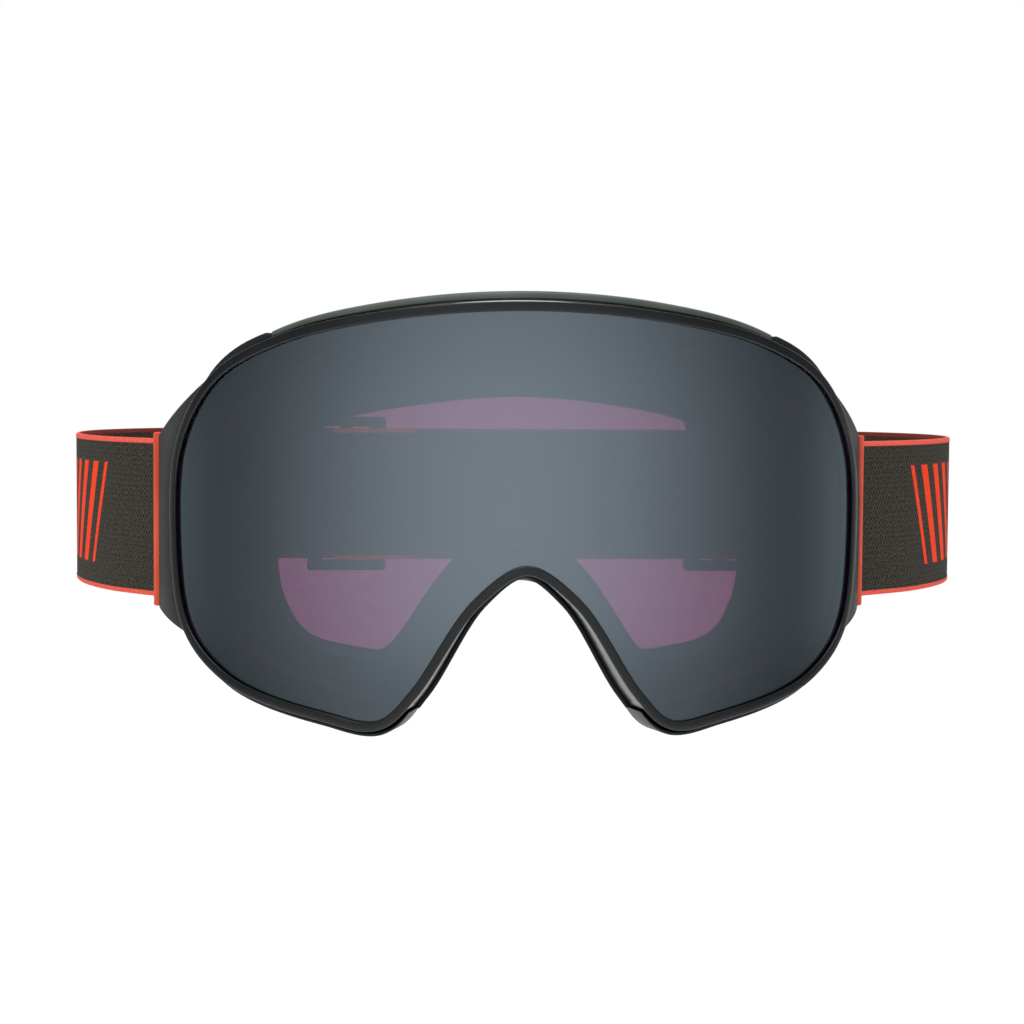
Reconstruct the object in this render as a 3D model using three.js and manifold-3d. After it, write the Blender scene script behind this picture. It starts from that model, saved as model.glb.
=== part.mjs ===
// Ski goggles: a magnetic double lens on a moulded frame with face foam and an adjustable elastic strap.
// Millimetres. X runs to the wearer's left eye side seen from the front, Y from the lens to the head, Z up.
// The origin is on the symmetry plane where the brow foam meets the face, at the height of the eyes.

import * as THREE from "three";
import Module from "manifold-3d";
import { mergeVertices } from "three/addons/utils/BufferGeometryUtils.js";

const wasm = await Module();
wasm.setup();

// ---------------------------------------------------------------- driving dimensions

const CLEARANCE = 0.3; // between pieces that touch
const COLLAR_FIT = 0.5; // between the frame's collar and the rim inside it or the wing outside it

// Lens: a cylinder about a vertical axis, cut to an outline.
const LENS_HALF_WIDTH = 81.9;
const LENS_WRAP = 51.26; // degrees that each half of the lens turns about the cylinder's axis
const LENS_DEPTH = 50; // lens apex in front of the face seat
const LENS_TOP = 50.8;
const LENS_BOTTOM = 42.6;
const LENS_THICKNESS = 1.4;
const INNER_LENS_THICKNESS = 0.8;
const GASKET_THICKNESS = 3.5;
const GASKET_WIDTH = 4.4;

// Lens rim.
const RIM_WIDTH = 2.2;
const RIM_LIP = 0.8; // thickness in front of the lens
const RIM_WALL = 0.7;
const RIM_FLANGE_REACH = 4.2; // inwards from the visible lens edge
const RIM_FLANGE_THICKNESS = 2.2;

// Magnets, one set in the rim and one in the frame.
const MAGNET_RADIUS = 1.8;
const MAGNET_THICKNESS = 1.2;
const MAGNET_INSET = 1.1; // centre line inside the visible lens edge
const MAGNETS_TOP_X = [20, 47];
const MAGNETS_BOTTOM_X = [62, 43];

// Frame body.
const BODY_WALL = 1.8;
const BODY_FLANGE_THICKNESS = 2.4;
const FLANGE_SHARE = 0.12; // how much of the shell's depth each flange takes at the wall
const COLLAR_FRONT = 1.0; // how far behind the lens surface the collar starts
const COLLAR_DEPTH = 10.5;
const COLLAR_WIDTH = 0.9;
const SHOULDER_WIDTH = 1.8; // the collar's greatest width, beside the brow bar
const SHOULDER_END = 0.912; // share of the lens's half width where that width has run out
const VENT_COUNT_TOP = 7;
const VENT_COUNT_BOTTOM = 3;
const VENT_RIB = 0.22; // share of each vent's pitch that the rib beside it takes
const VENT_SHARES = [0.3, 0.68]; // from where to where on the shell the vents are open
const VENT_FOAM_LAP = 0.07; // how much further the foam behind them goes
const TOP_VENTS = [-0.086, 0.086]; // from where to where round the outline
const BOTTOM_VENTS = [0.295, 0.372];

// Brow bar.
const BROW_HALF_WIDTH = 58.2;
const BROW_HEIGHT = 1.9;
const BROW_DEPTH = 10;
const BROW_NOTCH = 1.1;

// Face side: foam outline, opening and the curve it follows.
const FACE_RADIUS = 95;
const FACE_HALF_WIDTH = 76.5;
const FACE_TOP = 46;
const FACE_BOTTOM = 41.5;
const OPENING_HALF_WIDTH = 59.2;
const OPENING_TOP = 31;
const OPENING_BOTTOM = 31.8;
const FOAM_BASE = 8;
const FOAM_MIDDLE = 8;
const FLEECE = 3;
const VENT_FOAM = 1.6;
const OPENING_STEP = 0.6; // the foam and the flange stand back from the opening's outline

// Wings.
const WING_REACH = 6.4; // rear edge beyond the lens's half width
const WING_LENGTH = 18.7; // rear edge behind the lens's side edge
const WING_LAP = 1.5; // rear edge above and below the strap
const WING_THICKNESS = 2.6;
const WING_TOP = 0.905; // shares of the lens's half width where the wing's front corners are
const WING_BOTTOM = 0.958;
const WING_CROWN = 1;
const NOSE_LIP_THICKNESS = 1.2;

// Strap.
const STRAP_HEIGHT = 40;
const STRAP_THICKNESS = 1.8;
const STRAP_BULGE_RIGHT = 39.3; // how far each side of the loop stands out beyond its anchor
const STRAP_BULGE_LEFT = 28.7;
const STRAP_REAR_Y = 134;
const STRAP_STRAIGHT = 88; // half length of the straight rear stretch
const STRAP_LAYER_GAP = 0.6;
const STRAP_SPLICE_LEFT = 0; // where the left webbing's stretching tail starts
const STRAP_SPLICE_RIGHT = 20;
const GRIP_WIDTH = 3;
const GRIP_THICKNESS = 0.6;
const GRIP_OFFSET = 9;

// Orange anchors between wing and strap.
const ANCHOR_LAP = 1.7; // above and below the strap
const ANCHOR_WIDTH = 4.4;
const ANCHOR_DEPTH = 4;

// Sliders at the back of the strap.
const SLIDER_LEFT_X = -43.3;
const SLIDER_RIGHT_X = 73;
const SLIDER_WIDTH = 24;
const SLIDER_RAIL = 2.9; // height of the rail above and below the strap
const SLIDER_BAR = 4.6;
const SLIDER_THICKNESS = 2.2;

// Outlines of the right half from top centre, round the cheek, to the middle of the nose.
// Each point is a share of the half width, then of the height above or below the eye line.
const LENS_SHAPE = [
  [0, 1], [0.366, 0.961], [0.684, 0.85], [0.885, 0.661], [0.984, 0.354], [1, 0], [0.967, -0.528],
  [0.842, -0.805], [0.562, -0.969], [0.413, -1], [0.324, -0.84], [0.149, -0.338], [0, -0.155],
];
const FACE_SHAPE = [
  [0, 1], [0.366, 0.967], [0.68, 0.848], [0.876, 0.652], [0.98, 0.348], [1, 0], [0.967, -0.506],
  [0.85, -0.795], [0.588, -0.964], [0.43, -1], [0.362, -0.8], [0.195, -0.42], [0, -0.268],
];
const OPENING_SHAPE = [
  [0, 1], [0.397, 0.935], [0.744, 0.79], [0.909, 0.581], [0.983, 0.258], [1, -0.157], [0.967, -0.629],
  [0.866, -0.9], [0.635, -0.995], [0.556, -1], [0.51, -0.935], [0.245, -0.258], [0, -0.016],
];

const STATIONS = 72; // steps round every ring
const PLATE_END = 0.5; // the lens plates stop this far short of their outline's widest point
const MIN_COLUMN = 0.8;

// ---------------------------------------------------------------- worked-out sizes

const wrapAngle = THREE.MathUtils.degToRad(LENS_WRAP);
const LENS_RADIUS = LENS_HALF_WIDTH / Math.sin(wrapAngle);
const LENS_AXIS_Y = LENS_RADIUS - LENS_DEPTH;
const LENS_SIDE_Y = LENS_AXIS_Y - LENS_RADIUS * Math.cos(wrapAngle);
const LENS_INSET = RIM_WIDTH - RIM_WALL - CLEARANCE; // how far the lens goes under the rim
const GASKET_FRONT = LENS_THICKNESS + CLEARANCE;
const INNER_LENS_FRONT = GASKET_FRONT + GASKET_THICKNESS + CLEARANCE;
const FLANGE_FRONT = INNER_LENS_FRONT + INNER_LENS_THICKNESS + CLEARANCE;
const RIM_BACK = FLANGE_FRONT + RIM_FLANGE_THICKNESS;
const BODY_FRONT = RIM_BACK + CLEARANCE;
const COLLAR_INNER = RIM_WIDTH + COLLAR_FIT;
const POCKET_DEPTH = MAGNET_THICKNESS + 0.2;
const FOAM_DEPTH = FOAM_BASE + FOAM_MIDDLE + FLEECE + 2 * CLEARANCE;
const BODY_REAR_GAP = FOAM_DEPTH + CLEARANCE;
const WING_REAR_X = LENS_HALF_WIDTH + WING_REACH;
const WING_REAR_Y = LENS_SIDE_Y + WING_LENGTH;
const WING_REAR_HEIGHT = STRAP_HEIGHT + 2 * WING_LAP;
const ANCHOR_FRONT_Y = WING_REAR_Y + CLEARANCE;
const STRAP_START_Y = ANCHOR_FRONT_Y + ANCHOR_DEPTH + CLEARANCE;
const STRAP_START_X = WING_REAR_X - 0.4;
const LAYER_SHIFT = (STRAP_THICKNESS + STRAP_LAYER_GAP) / 2;
const REAR_TO_SIDE = STRAP_REAR_Y - STRAP_START_Y;

// ---------------------------------------------------------------- geometry helpers

// Makes a geometry from points and triangles and turns it so that its faces point outwards.
function geometryOf(points, triangles) {
  let volume = 0;
  for (const [a, b, c] of triangles) {
    volume += points[a].dot(new THREE.Vector3().crossVectors(points[b], points[c]));
  }
  const order = volume < 0 ? triangles.map(([a, b, c]) => [a, c, b]) : triangles;
  const geometry = new THREE.BufferGeometry().setFromPoints(points);
  geometry.setIndex(order.flat());
  return geometry;
}

// Joins loops of points into one closed body: a ring when closed, otherwise with both ends capped.
// A cap fans out from the loop's first point. Each four-sided step is split along its shorter
// diagonal, so that faces side by side split alike.
function loft(loops, closed) {
  const count = loops[0].length;
  const points = loops.flat();
  const triangles = [];
  const last = closed ? loops.length : loops.length - 1;
  for (let i = 0; i < last; i += 1) {
    const here = i * count;
    const next = ((i + 1) % loops.length) * count;
    for (let j = 0; j < count; j += 1) {
      const k = (j + 1) % count;
      const rising = points[here + j].distanceTo(points[next + k]);
      const falling = points[here + k].distanceTo(points[next + j]);
      if (rising < falling) triangles.push([here + j, here + k, next + k], [here + j, next + k, next + j]);
      else triangles.push([here + j, here + k, next + j], [here + k, next + k, next + j]);
    }
  }
  if (!closed) {
    const end = (loops.length - 1) * count;
    for (let j = 1; j < count - 1; j += 1) {
      triangles.push([0, j + 1, j], [end, end + j, end + j + 1]);
    }
  }
  return geometryOf(points, triangles);
}

// A closed outline in the XZ plane from the shape of its right half.
function outline(shape, halfWidth, top, bottom, bend = (x) => x) {
  const right = shape.map(([x, z]) => new THREE.Vector3(bend(x * halfWidth), 0, z * (z > 0 ? top : bottom)));
  const left = right.slice(1, -1).reverse().map((p) => new THREE.Vector3(-p.x, 0, p.z));
  return new THREE.CatmullRomCurve3([...right, ...left], true, "centripetal");
}

// A point of an outline, moved outwards in its own plane. Every piece follows the same polygon of
// STATIONS corners, so that neighbours keep their clearance between the corners too.
function edge(curve, t, outwards) {
  const step = (((t % 1) + 1) % 1) * STATIONS;
  const corner = (i) => {
    const along = curve.getTangent((i / STATIONS) % 1);
    const normal = new THREE.Vector3(-along.z, 0, along.x);
    return curve.getPoint((i / STATIONS) % 1).addScaledVector(normal, outwards);
  };
  return corner(Math.floor(step)).lerp(corner(Math.floor(step) + 1), step % 1);
}

// Where along the outline's right half it reaches x, on the upper or the lower run.
function parameterAt(curve, x, upper) {
  const widest = LENS_SHAPE.findIndex(([share]) => share === 1) / (2 * LENS_SHAPE.length - 2);
  let [near, far] = upper ? [0, widest] : [0.5, widest];
  for (let i = 0; i < 40; i += 1) {
    const middle = (near + far) / 2;
    if (curve.getPoint(middle).x < x) near = middle;
    else far = middle;
  }
  return (near + far) / 2;
}

const arc = (x) => LENS_RADIUS * Math.asin(x / LENS_RADIUS);

// The lens outline, unrolled: x is the length along the lens's curve.
const lensEdge = outline(LENS_SHAPE, LENS_HALF_WIDTH, LENS_TOP, LENS_BOTTOM, arc);
const faceEdge = outline(FACE_SHAPE, FACE_HALF_WIDTH, FACE_TOP, FACE_BOTTOM);
const openingEdge = outline(OPENING_SHAPE, OPENING_HALF_WIDTH, OPENING_TOP, OPENING_BOTTOM);

// Rolls an unrolled point back on to the lens's cylinder, a depth behind its outer surface.
function rolled(point, depth) {
  const angle = point.x / LENS_RADIUS;
  const radius = LENS_RADIUS - depth;
  return new THREE.Vector3(radius * Math.sin(angle), LENS_AXIS_Y - radius * Math.cos(angle), point.z);
}

const lensPoint = (t, outwards, depth) => rolled(edge(lensEdge, t, outwards), depth);

// A point of a face-side outline, a height in front of the surface that rests on the face.
function facePoint(curve, t, outwards, height) {
  const p = edge(curve, t, outwards);
  const seat = FACE_RADIUS - Math.sqrt(FACE_RADIUS ** 2 - p.x ** 2);
  return new THREE.Vector3(p.x, seat - height, p.z);
}

// A point of the frame's outer shell: share 0 is behind the rim, 1 is at the foam; inset goes inwards.
function shellPoint(t, share, inset) {
  const front = lensPoint(t, RIM_WIDTH - inset, BODY_FRONT);
  return front.lerp(facePoint(faceEdge, t, -inset, BODY_REAR_GAP), share);
}

function stations(from, to, steps) {
  return Array.from({ length: steps + 1 }, (_, i) => from + ((to - from) * i) / steps);
}

// The ring's own steps between two places, with both ends, so that neighbours share their facets.
function stepsBetween(from, to) {
  const margin = 0.2 / STATIONS;
  const inside = stations(-1, 1, 2 * STATIONS).filter((t) => t > from + margin && t < to - margin);
  return [from, ...inside, to];
}

// A full ring of one section, given as a function of the place along the outline.
const ring = (section) => loft(stations(0, 1 - 1 / STATIONS, STATIONS - 1).map(section), true);

// A curved block lying along the frame's shell.
function shellPatch(t0, t1, share0, share1, inset0, inset1) {
  const corners = [[share0, inset0], [share1, inset0], [share1, inset1], [share0, inset1]];
  const section = (t) => corners.map(([share, inset]) => shellPoint(t, share, inset));
  return loft(stepsBetween(t0, t1).map(section), false);
}

function box(x, y, z) {
  const geometry = new THREE.BoxGeometry(x[1] - x[0], y[1] - y[0], z[1] - z[0]);
  return geometry.translate((x[0] + x[1]) / 2, (y[0] + y[1]) / 2, (z[0] + z[1]) / 2);
}

function solidOf(geometry) {
  const bare = geometry.clone();
  bare.deleteAttribute("normal");
  bare.deleteAttribute("uv");
  const merged = mergeVertices(bare, 1e-4);
  const vertProperties = new Float32Array(merged.attributes.position.array);
  const triVerts = new Uint32Array(merged.index.array);
  return new wasm.Manifold(new wasm.Mesh({ numProp: 3, vertProperties, triVerts }));
}

function geometryFrom(solid) {
  const mesh = solid.getMesh();
  const geometry = new THREE.BufferGeometry();
  geometry.setAttribute("position", new THREE.BufferAttribute(mesh.vertProperties, 3));
  geometry.setIndex(new THREE.BufferAttribute(mesh.triVerts, 1));
  return geometry;
}

function joined(parts) {
  return geometryFrom(parts.map(solidOf).reduce((sum, part) => sum.add(part)));
}

function cut(base, cutters) {
  return geometryFrom(cutters.map(solidOf).reduce((rest, cutter) => rest.subtract(cutter), solidOf(base)));
}

// The same body on the other side of the symmetry plane, with its faces turned back outwards.
function mirrored(geometry) {
  const flipped = geometry.clone().scale(-1, 1, 1);
  const index = Array.from(flipped.index.array);
  for (let i = 0; i < index.length; i += 3) [index[i + 1], index[i + 2]] = [index[i + 2], index[i + 1]];
  flipped.setIndex(index);
  return flipped;
}

// ---------------------------------------------------------------- scene graph

const finishes = {
  mirror: { color: 0x6f7c84, roughness: 0.12, metalness: 0.6 },
  clear: { color: 0xb9a6b8, roughness: 0.1, metalness: 0 },
  rim: { color: 0x212528, roughness: 0.35, metalness: 0 },
  body: { color: 0x2b2d32, roughness: 0.5, metalness: 0 },
  trim: { color: 0x4e564e, roughness: 0.5, metalness: 0 },
  wing: { color: 0x323a36, roughness: 0.5, metalness: 0 },
  lip: { color: 0x4c4e50, roughness: 0.6, metalness: 0 },
  foam: { color: 0x26282a, roughness: 0.95, metalness: 0 },
  fleece: { color: 0x1c1d1f, roughness: 1, metalness: 0 },
  steel: { color: 0xb4b6b8, roughness: 0.3, metalness: 1 },
  orange: { color: 0xe25f3c, roughness: 0.5, metalness: 0 },
  webbing: { color: 0x3e3a32, roughness: 0.9, metalness: 0 },
  silicone: { color: 0xd8643c, roughness: 0.6, metalness: 0 },
  slider: { color: 0x1a1b1c, roughness: 0.45, metalness: 0 },
};

const goggles = new THREE.Group();
const lensUnit = new THREE.Group();
const frameUnit = new THREE.Group();
const strapUnit = new THREE.Group();
goggles.add(lensUnit, frameUnit, strapUnit);

function place(group, name, geometry, finish) {
  const mesh = new THREE.Mesh(geometry, new THREE.MeshStandardMaterial(finishes[finish]));
  mesh.name = name;
  group.add(mesh);
  return mesh;
}

// ---------------------------------------------------------------- lens unit

// A curved plate that fills the lens outline, made of columns from its lower to its upper edge,
// one at each step of the outline.
function lensPlate(outwards, front, thickness) {
  const corners = stations(0, 0.5, STATIONS / 2).map((t) => edge(lensEdge, t, outwards));
  const widest = corners.reduce((best, p, i) => (p.x > corners[best].x ? i : best), 0);
  const upper = corners.slice(0, widest + 1);
  const lower = corners.slice(widest).reverse();
  const heightAt = (run, x) => {
    const i = Math.max(1, run.findIndex((p) => p.x >= x));
    const [a, b] = [run[i - 1], run[i]];
    return a.z + ((b.z - a.z) * (x - a.x)) / (b.x - a.x);
  };
  const limit = corners[widest].x - PLATE_END;
  const steps = corners.map((p) => p.x).filter((x) => x > 0 && x < limit - MIN_COLUMN).sort((a, b) => a - b);
  const spaced = [...steps.filter((x, i) => (steps[i + 1] ?? limit) - x > MIN_COLUMN), limit];
  const columns = [...spaced.map((x) => -x).reverse(), 0, ...spaced].map((x) => {
    const [high, low] = [heightAt(upper, Math.abs(x)), heightAt(lower, Math.abs(x))];
    const at = (z, depth) => rolled(new THREE.Vector3(x, 0, z), depth);
    return [at(low, front), at(high, front), at(high, front + thickness), at(low, front + thickness)];
  });
  return loft(columns, false);
}

// Places round the outline where a magnet sits, right half first.
const magnetPlaces = [
  ...MAGNETS_TOP_X.map((x) => parameterAt(lensEdge, arc(x), true)),
  ...MAGNETS_BOTTOM_X.map((x) => parameterAt(lensEdge, arc(x), false)),
].flatMap((t) => [t, 1 - t]);

// A short cylinder square to the lens's surface, from one depth to another.
function magnetBody(t, front, back, radius, sides) {
  const centre = edge(lensEdge, t, -MAGNET_INSET);
  const geometry = new THREE.CylinderGeometry(radius, radius, back - front, sides);
  geometry.rotateZ(centre.x / LENS_RADIUS);
  const middle = rolled(centre, (front + back) / 2);
  return geometry.translate(middle.x, middle.y, middle.z);
}

function lensRim() {
  const profile = [
    [0, -RIM_LIP - CLEARANCE], [RIM_WIDTH, -RIM_LIP - CLEARANCE], [RIM_WIDTH, RIM_BACK],
    [-RIM_FLANGE_REACH, RIM_BACK], [-RIM_FLANGE_REACH, FLANGE_FRONT],
    [RIM_WIDTH - RIM_WALL, FLANGE_FRONT], [RIM_WIDTH - RIM_WALL, -CLEARANCE], [0, -CLEARANCE],
  ];
  const body = ring((t) => profile.map(([outwards, depth]) => lensPoint(t, outwards, depth)));
  const pockets = magnetPlaces.map((t) => (
    magnetBody(t, RIM_BACK - POCKET_DEPTH, RIM_BACK + 1, MAGNET_RADIUS + CLEARANCE, 12)));
  return cut(body, pockets);
}

function lensGasket() {
  const [outer, inner] = [LENS_INSET, LENS_INSET - GASKET_WIDTH];
  const profile = [
    [inner, GASKET_FRONT], [outer, GASKET_FRONT],
    [outer, GASKET_FRONT + GASKET_THICKNESS], [inner, GASKET_FRONT + GASKET_THICKNESS],
  ];
  return ring((t) => profile.map(([outwards, depth]) => lensPoint(t, outwards, depth)));
}

place(lensUnit, "outer_lens", lensPlate(LENS_INSET, 0, LENS_THICKNESS), "mirror");
place(lensUnit, "lens_gasket", lensGasket(), "foam");
place(lensUnit, "inner_lens", lensPlate(LENS_INSET, INNER_LENS_FRONT, INNER_LENS_THICKNESS), "clear");
place(lensUnit, "lens_frame", lensRim(), "rim");
magnetPlaces.forEach((t, i) => {
  const magnet = magnetBody(t, RIM_BACK - MAGNET_THICKNESS, RIM_BACK, MAGNET_RADIUS, 12);
  place(lensUnit, `lens_magnet_${i + 1}`, magnet, "steel");
});

// ---------------------------------------------------------------- frame

const browEnd = parameterAt(lensEdge, arc(BROW_HALF_WIDTH), true);
const collarStart = parameterAt(lensEdge, arc(BROW_HALF_WIDTH + BROW_NOTCH), true);
const shoulderEnd = parameterAt(lensEdge, arc(SHOULDER_END * LENS_HALF_WIDTH), true);
const noseLipEnd = 29 / STATIONS; // just inside the lower corner of the nose arch
const collarEnd = noseLipEnd - 0.2 / STATIONS;

// The collar's outer offset: widest at the shoulders, narrow everywhere else.
function collarOuter(t) {
  const share = THREE.MathUtils.clamp((t - collarStart) / (shoulderEnd - collarStart), 0, 1);
  const swell = Math.sin(Math.PI * (0.3 + 0.7 * share)) * (share < 1 ? 1 : 0);
  return COLLAR_INNER + COLLAR_WIDTH + (SHOULDER_WIDTH - COLLAR_WIDTH) * swell;
}

function collarSide() {
  const back = COLLAR_FRONT + COLLAR_DEPTH;
  const foot = BODY_FRONT + 0.5;
  return loft(stepsBetween(collarStart, collarEnd).map((t) => [
    [COLLAR_INNER, foot], [COLLAR_INNER, COLLAR_FRONT], [collarOuter(t), COLLAR_FRONT],
    [collarOuter(t), back], [RIM_WIDTH - BODY_WALL, back], [RIM_WIDTH - BODY_WALL, foot],
  ].map(([outwards, depth]) => lensPoint(t, outwards, depth))), false);
}

function frameRing() {
  const flangeBack = BODY_FRONT + BODY_FLANGE_THICKNESS;
  return ring((t) => [
    shellPoint(t, 0, 0),
    lensPoint(t, -RIM_FLANGE_REACH, BODY_FRONT),
    lensPoint(t, -RIM_FLANGE_REACH, flangeBack),
    shellPoint(t, FLANGE_SHARE, BODY_WALL),
    shellPoint(t, 1 - FLANGE_SHARE, BODY_WALL),
    facePoint(openingEdge, t, OPENING_STEP, BODY_REAR_GAP + BODY_FLANGE_THICKNESS),
    facePoint(openingEdge, t, OPENING_STEP, BODY_REAR_GAP),
    shellPoint(t, 1, 0),
  ]);
}

// Evenly spaced openings with a rib between each two.
function ventCutters([from, to], count) {
  const pitch = (to - from) / count;
  const open = ((1 - VENT_RIB) * pitch) / 2;
  const through = [-NOSE_LIP_THICKNESS - BODY_WALL, BODY_WALL + CLEARANCE];
  return stations(from + pitch / 2, to - pitch / 2, count - 1).map((middle) => (
    shellPatch(middle - open, middle + open, ...VENT_SHARES, ...through)));
}

function ventFoam([from, to]) {
  const inner = BODY_WALL + CLEARANCE;
  const [front, back] = [VENT_SHARES[0] - VENT_FOAM_LAP, VENT_SHARES[1] + VENT_FOAM_LAP];
  return shellPatch(from, to, front, back, inner, inner + VENT_FOAM);
}

function frameBody() {
  const shell = joined([frameRing(), collarSide(), mirrored(collarSide())]);
  const bottomVents = ventCutters(BOTTOM_VENTS, VENT_COUNT_BOTTOM);
  const pockets = magnetPlaces.map((t) => (
    magnetBody(t, BODY_FRONT - 1, BODY_FRONT + POCKET_DEPTH, MAGNET_RADIUS + CLEARANCE, 12)));
  return cut(shell, [
    ...ventCutters(TOP_VENTS, VENT_COUNT_TOP), ...bottomVents, ...bottomVents.map(mirrored), ...pockets,
  ]);
}

function browBar() {
  const back = COLLAR_FRONT + BROW_DEPTH;
  return loft(stepsBetween(-browEnd, browEnd).map((t) => {
    const top = COLLAR_INNER + BROW_HEIGHT * (1 - 0.2 * (t / browEnd) ** 2);
    return [
      [COLLAR_INNER, COLLAR_FRONT], [top - 0.5, COLLAR_FRONT], [top, COLLAR_FRONT + 0.8],
      [top, back], [COLLAR_INNER, back],
    ].map(([outwards, depth]) => lensPoint(t, outwards, depth));
  }), false);
}

function noseLip() {
  return shellPatch(noseLipEnd, 1 - noseLipEnd, 0.02, 0.94, -CLEARANCE - NOSE_LIP_THICKNESS, -CLEARANCE);
}

// One ring of face foam between two heights in front of the face.
function foamRing(near, far) {
  return ring((t) => [
    facePoint(faceEdge, t, 0, near), facePoint(faceEdge, t, 0, far),
    facePoint(openingEdge, t, OPENING_STEP, far), facePoint(openingEdge, t, OPENING_STEP, near),
  ]);
}

// A wing's panel: sections from the collar's side to the strap anchor, from top to bottom.
const wingTop = parameterAt(lensEdge, arc(WING_TOP * LENS_HALF_WIDTH), true);
const wingBottom = parameterAt(lensEdge, arc(WING_BOTTOM * LENS_HALF_WIDTH), false);

function wing() {
  const sections = stepsBetween(wingTop, wingBottom).map((t) => {
    const share = (t - wingTop) / (wingBottom - wingTop);
    const outwards = collarOuter(t) + COLLAR_FIT;
    const z = WING_REAR_HEIGHT * (0.5 - share) - 0.5;
    const outerFront = lensPoint(t, outwards, COLLAR_FRONT + 0.6);
    const innerFront = lensPoint(t, outwards, COLLAR_FRONT + COLLAR_DEPTH - 1.5);
    const outerRear = new THREE.Vector3(WING_REAR_X, WING_REAR_Y, z);
    const innerRear = new THREE.Vector3(WING_REAR_X - WING_THICKNESS, WING_REAR_Y, z);
    const bulge = new THREE.Vector3(0.87, -0.5, 0).multiplyScalar(WING_CROWN);
    const middle = outerFront.clone().lerp(outerRear, 0.5).add(bulge);
    const innerMiddle = innerFront.clone().lerp(innerRear, 0.6).add(bulge);
    return [outerFront, middle, outerRear, innerRear, innerMiddle, innerFront];
  });
  return loft(sections, false);
}

place(frameUnit, "frame_body", frameBody(), "body");
place(frameUnit, "brow_bar", browBar(), "trim");
place(frameUnit, "nose_lip", noseLip(), "lip");
place(frameUnit, "top_vent_foam", ventFoam(TOP_VENTS), "foam");
place(frameUnit, "bottom_vent_foam_right", ventFoam(BOTTOM_VENTS), "foam");
place(frameUnit, "bottom_vent_foam_left", mirrored(ventFoam(BOTTOM_VENTS)), "foam");
const foamFront = FOAM_DEPTH;
const foamMiddle = FLEECE + FOAM_MIDDLE + CLEARANCE;
place(frameUnit, "face_foam_base", foamRing(foamMiddle + CLEARANCE, foamFront), "foam");
place(frameUnit, "face_foam_middle", foamRing(FLEECE + CLEARANCE, foamMiddle), "foam");
place(frameUnit, "face_foam_fleece", foamRing(0, FLEECE), "fleece");
place(frameUnit, "wing_right", wing(), "wing");
place(frameUnit, "wing_left", mirrored(wing()), "wing");
magnetPlaces.forEach((t, i) => {
  const magnet = magnetBody(t, BODY_FRONT, BODY_FRONT + MAGNET_THICKNESS, MAGNET_RADIUS, 12);
  place(frameUnit, `frame_magnet_${i + 1}`, magnet, "steel");
});

function anchor() {
  const outer = WING_REAR_X + 1.5;
  const inner = outer - ANCHOR_WIDTH;
  const [front, back] = [ANCHOR_FRONT_Y, ANCHOR_FRONT_Y + ANCHOR_DEPTH];
  const reach = STRAP_HEIGHT / 2 + ANCHOR_LAP;
  const profile = [[inner, front], [outer - 0.8, front], [outer, front + 1.4], [outer, back], [inner, back]];
  return loft([-reach, reach].map((z) => profile.map(([x, y]) => new THREE.Vector3(x, y, z))), false);
}

place(frameUnit, "strap_anchor_right", anchor(), "orange");
place(frameUnit, "strap_anchor_left", mirrored(anchor()), "orange");

// ---------------------------------------------------------------- strap

// The plan line of one side of the strap, from its anchor round to the straight rear stretch.
function strapLine(rearY, bulge) {
  const out = (share) => STRAP_START_X + bulge * share;
  const back = (share) => STRAP_START_Y + REAR_TO_SIDE * share;
  const plan = [
    [STRAP_START_X, STRAP_START_Y], [STRAP_START_X, STRAP_START_Y + 1.5], [out(0.49), back(0.15)],
    [out(0.85), back(0.33)], [out(1), back(0.53)], [out(0.93), back(0.73)], [out(0.6), back(0.9)],
    [out(0.28), back(0.972)], [STRAP_STRAIGHT, rearY], [STRAP_STRAIGHT - 4, rearY],
  ];
  return new THREE.CatmullRomCurve3(plan.map(([x, y]) => new THREE.Vector3(x, y, 0)));
}

// Steps along that line, each with its place and direction, and one more where the webbing ends.
function strapPath(rearY, splice, bulge) {
  const curve = strapLine(rearY, bulge);
  const steps = stations(0, 1, 30).map((t) => ({ point: curve.getPointAt(t), along: curve.getTangentAt(t) }));
  const straight = new THREE.Vector3(-1, 0, 0);
  steps[steps.length - 1].along = straight;
  return [...steps, { point: new THREE.Vector3(splice, rearY, 0), along: straight }];
}

// A band that follows a path: a thin upright section at each step, shifted sideways from the path.
function band(path, thickness, low, high, shift = 0) {
  return loft(path.map(({ point, along }) => {
    const side = new THREE.Vector3(along.y, -along.x, 0);
    const at = (offset, z) => point.clone().addScaledVector(side, offset + shift).setZ(z);
    const reach = thickness / 2;
    return [at(reach, low), at(reach, high), at(-reach, high), at(-reach, low)];
  }), false);
}

// The right webbing lies on the head side at the rear, the left one outside it.
const INNER_LAYER_Y = STRAP_REAR_Y - LAYER_SHIFT;
const OUTER_LAYER_Y = STRAP_REAR_Y + LAYER_SHIFT;
const half = STRAP_HEIGHT / 2;

const rightPath = strapPath(INNER_LAYER_Y, STRAP_SPLICE_RIGHT, STRAP_BULGE_RIGHT);
const leftPath = strapPath(OUTER_LAYER_Y, -STRAP_SPLICE_LEFT, STRAP_BULGE_LEFT);
place(strapUnit, "strap_right_side", band(rightPath, STRAP_THICKNESS, -half, half), "webbing");
place(strapUnit, "strap_left_side", mirrored(band(leftPath, STRAP_THICKNESS, -half, half)), "webbing");

function tail(fromX, toX, y) {
  const [low, high] = [Math.min(fromX, toX), Math.max(fromX, toX)];
  return box([low, high], [y - STRAP_THICKNESS / 2, y + STRAP_THICKNESS / 2], [-half, half]);
}

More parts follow.
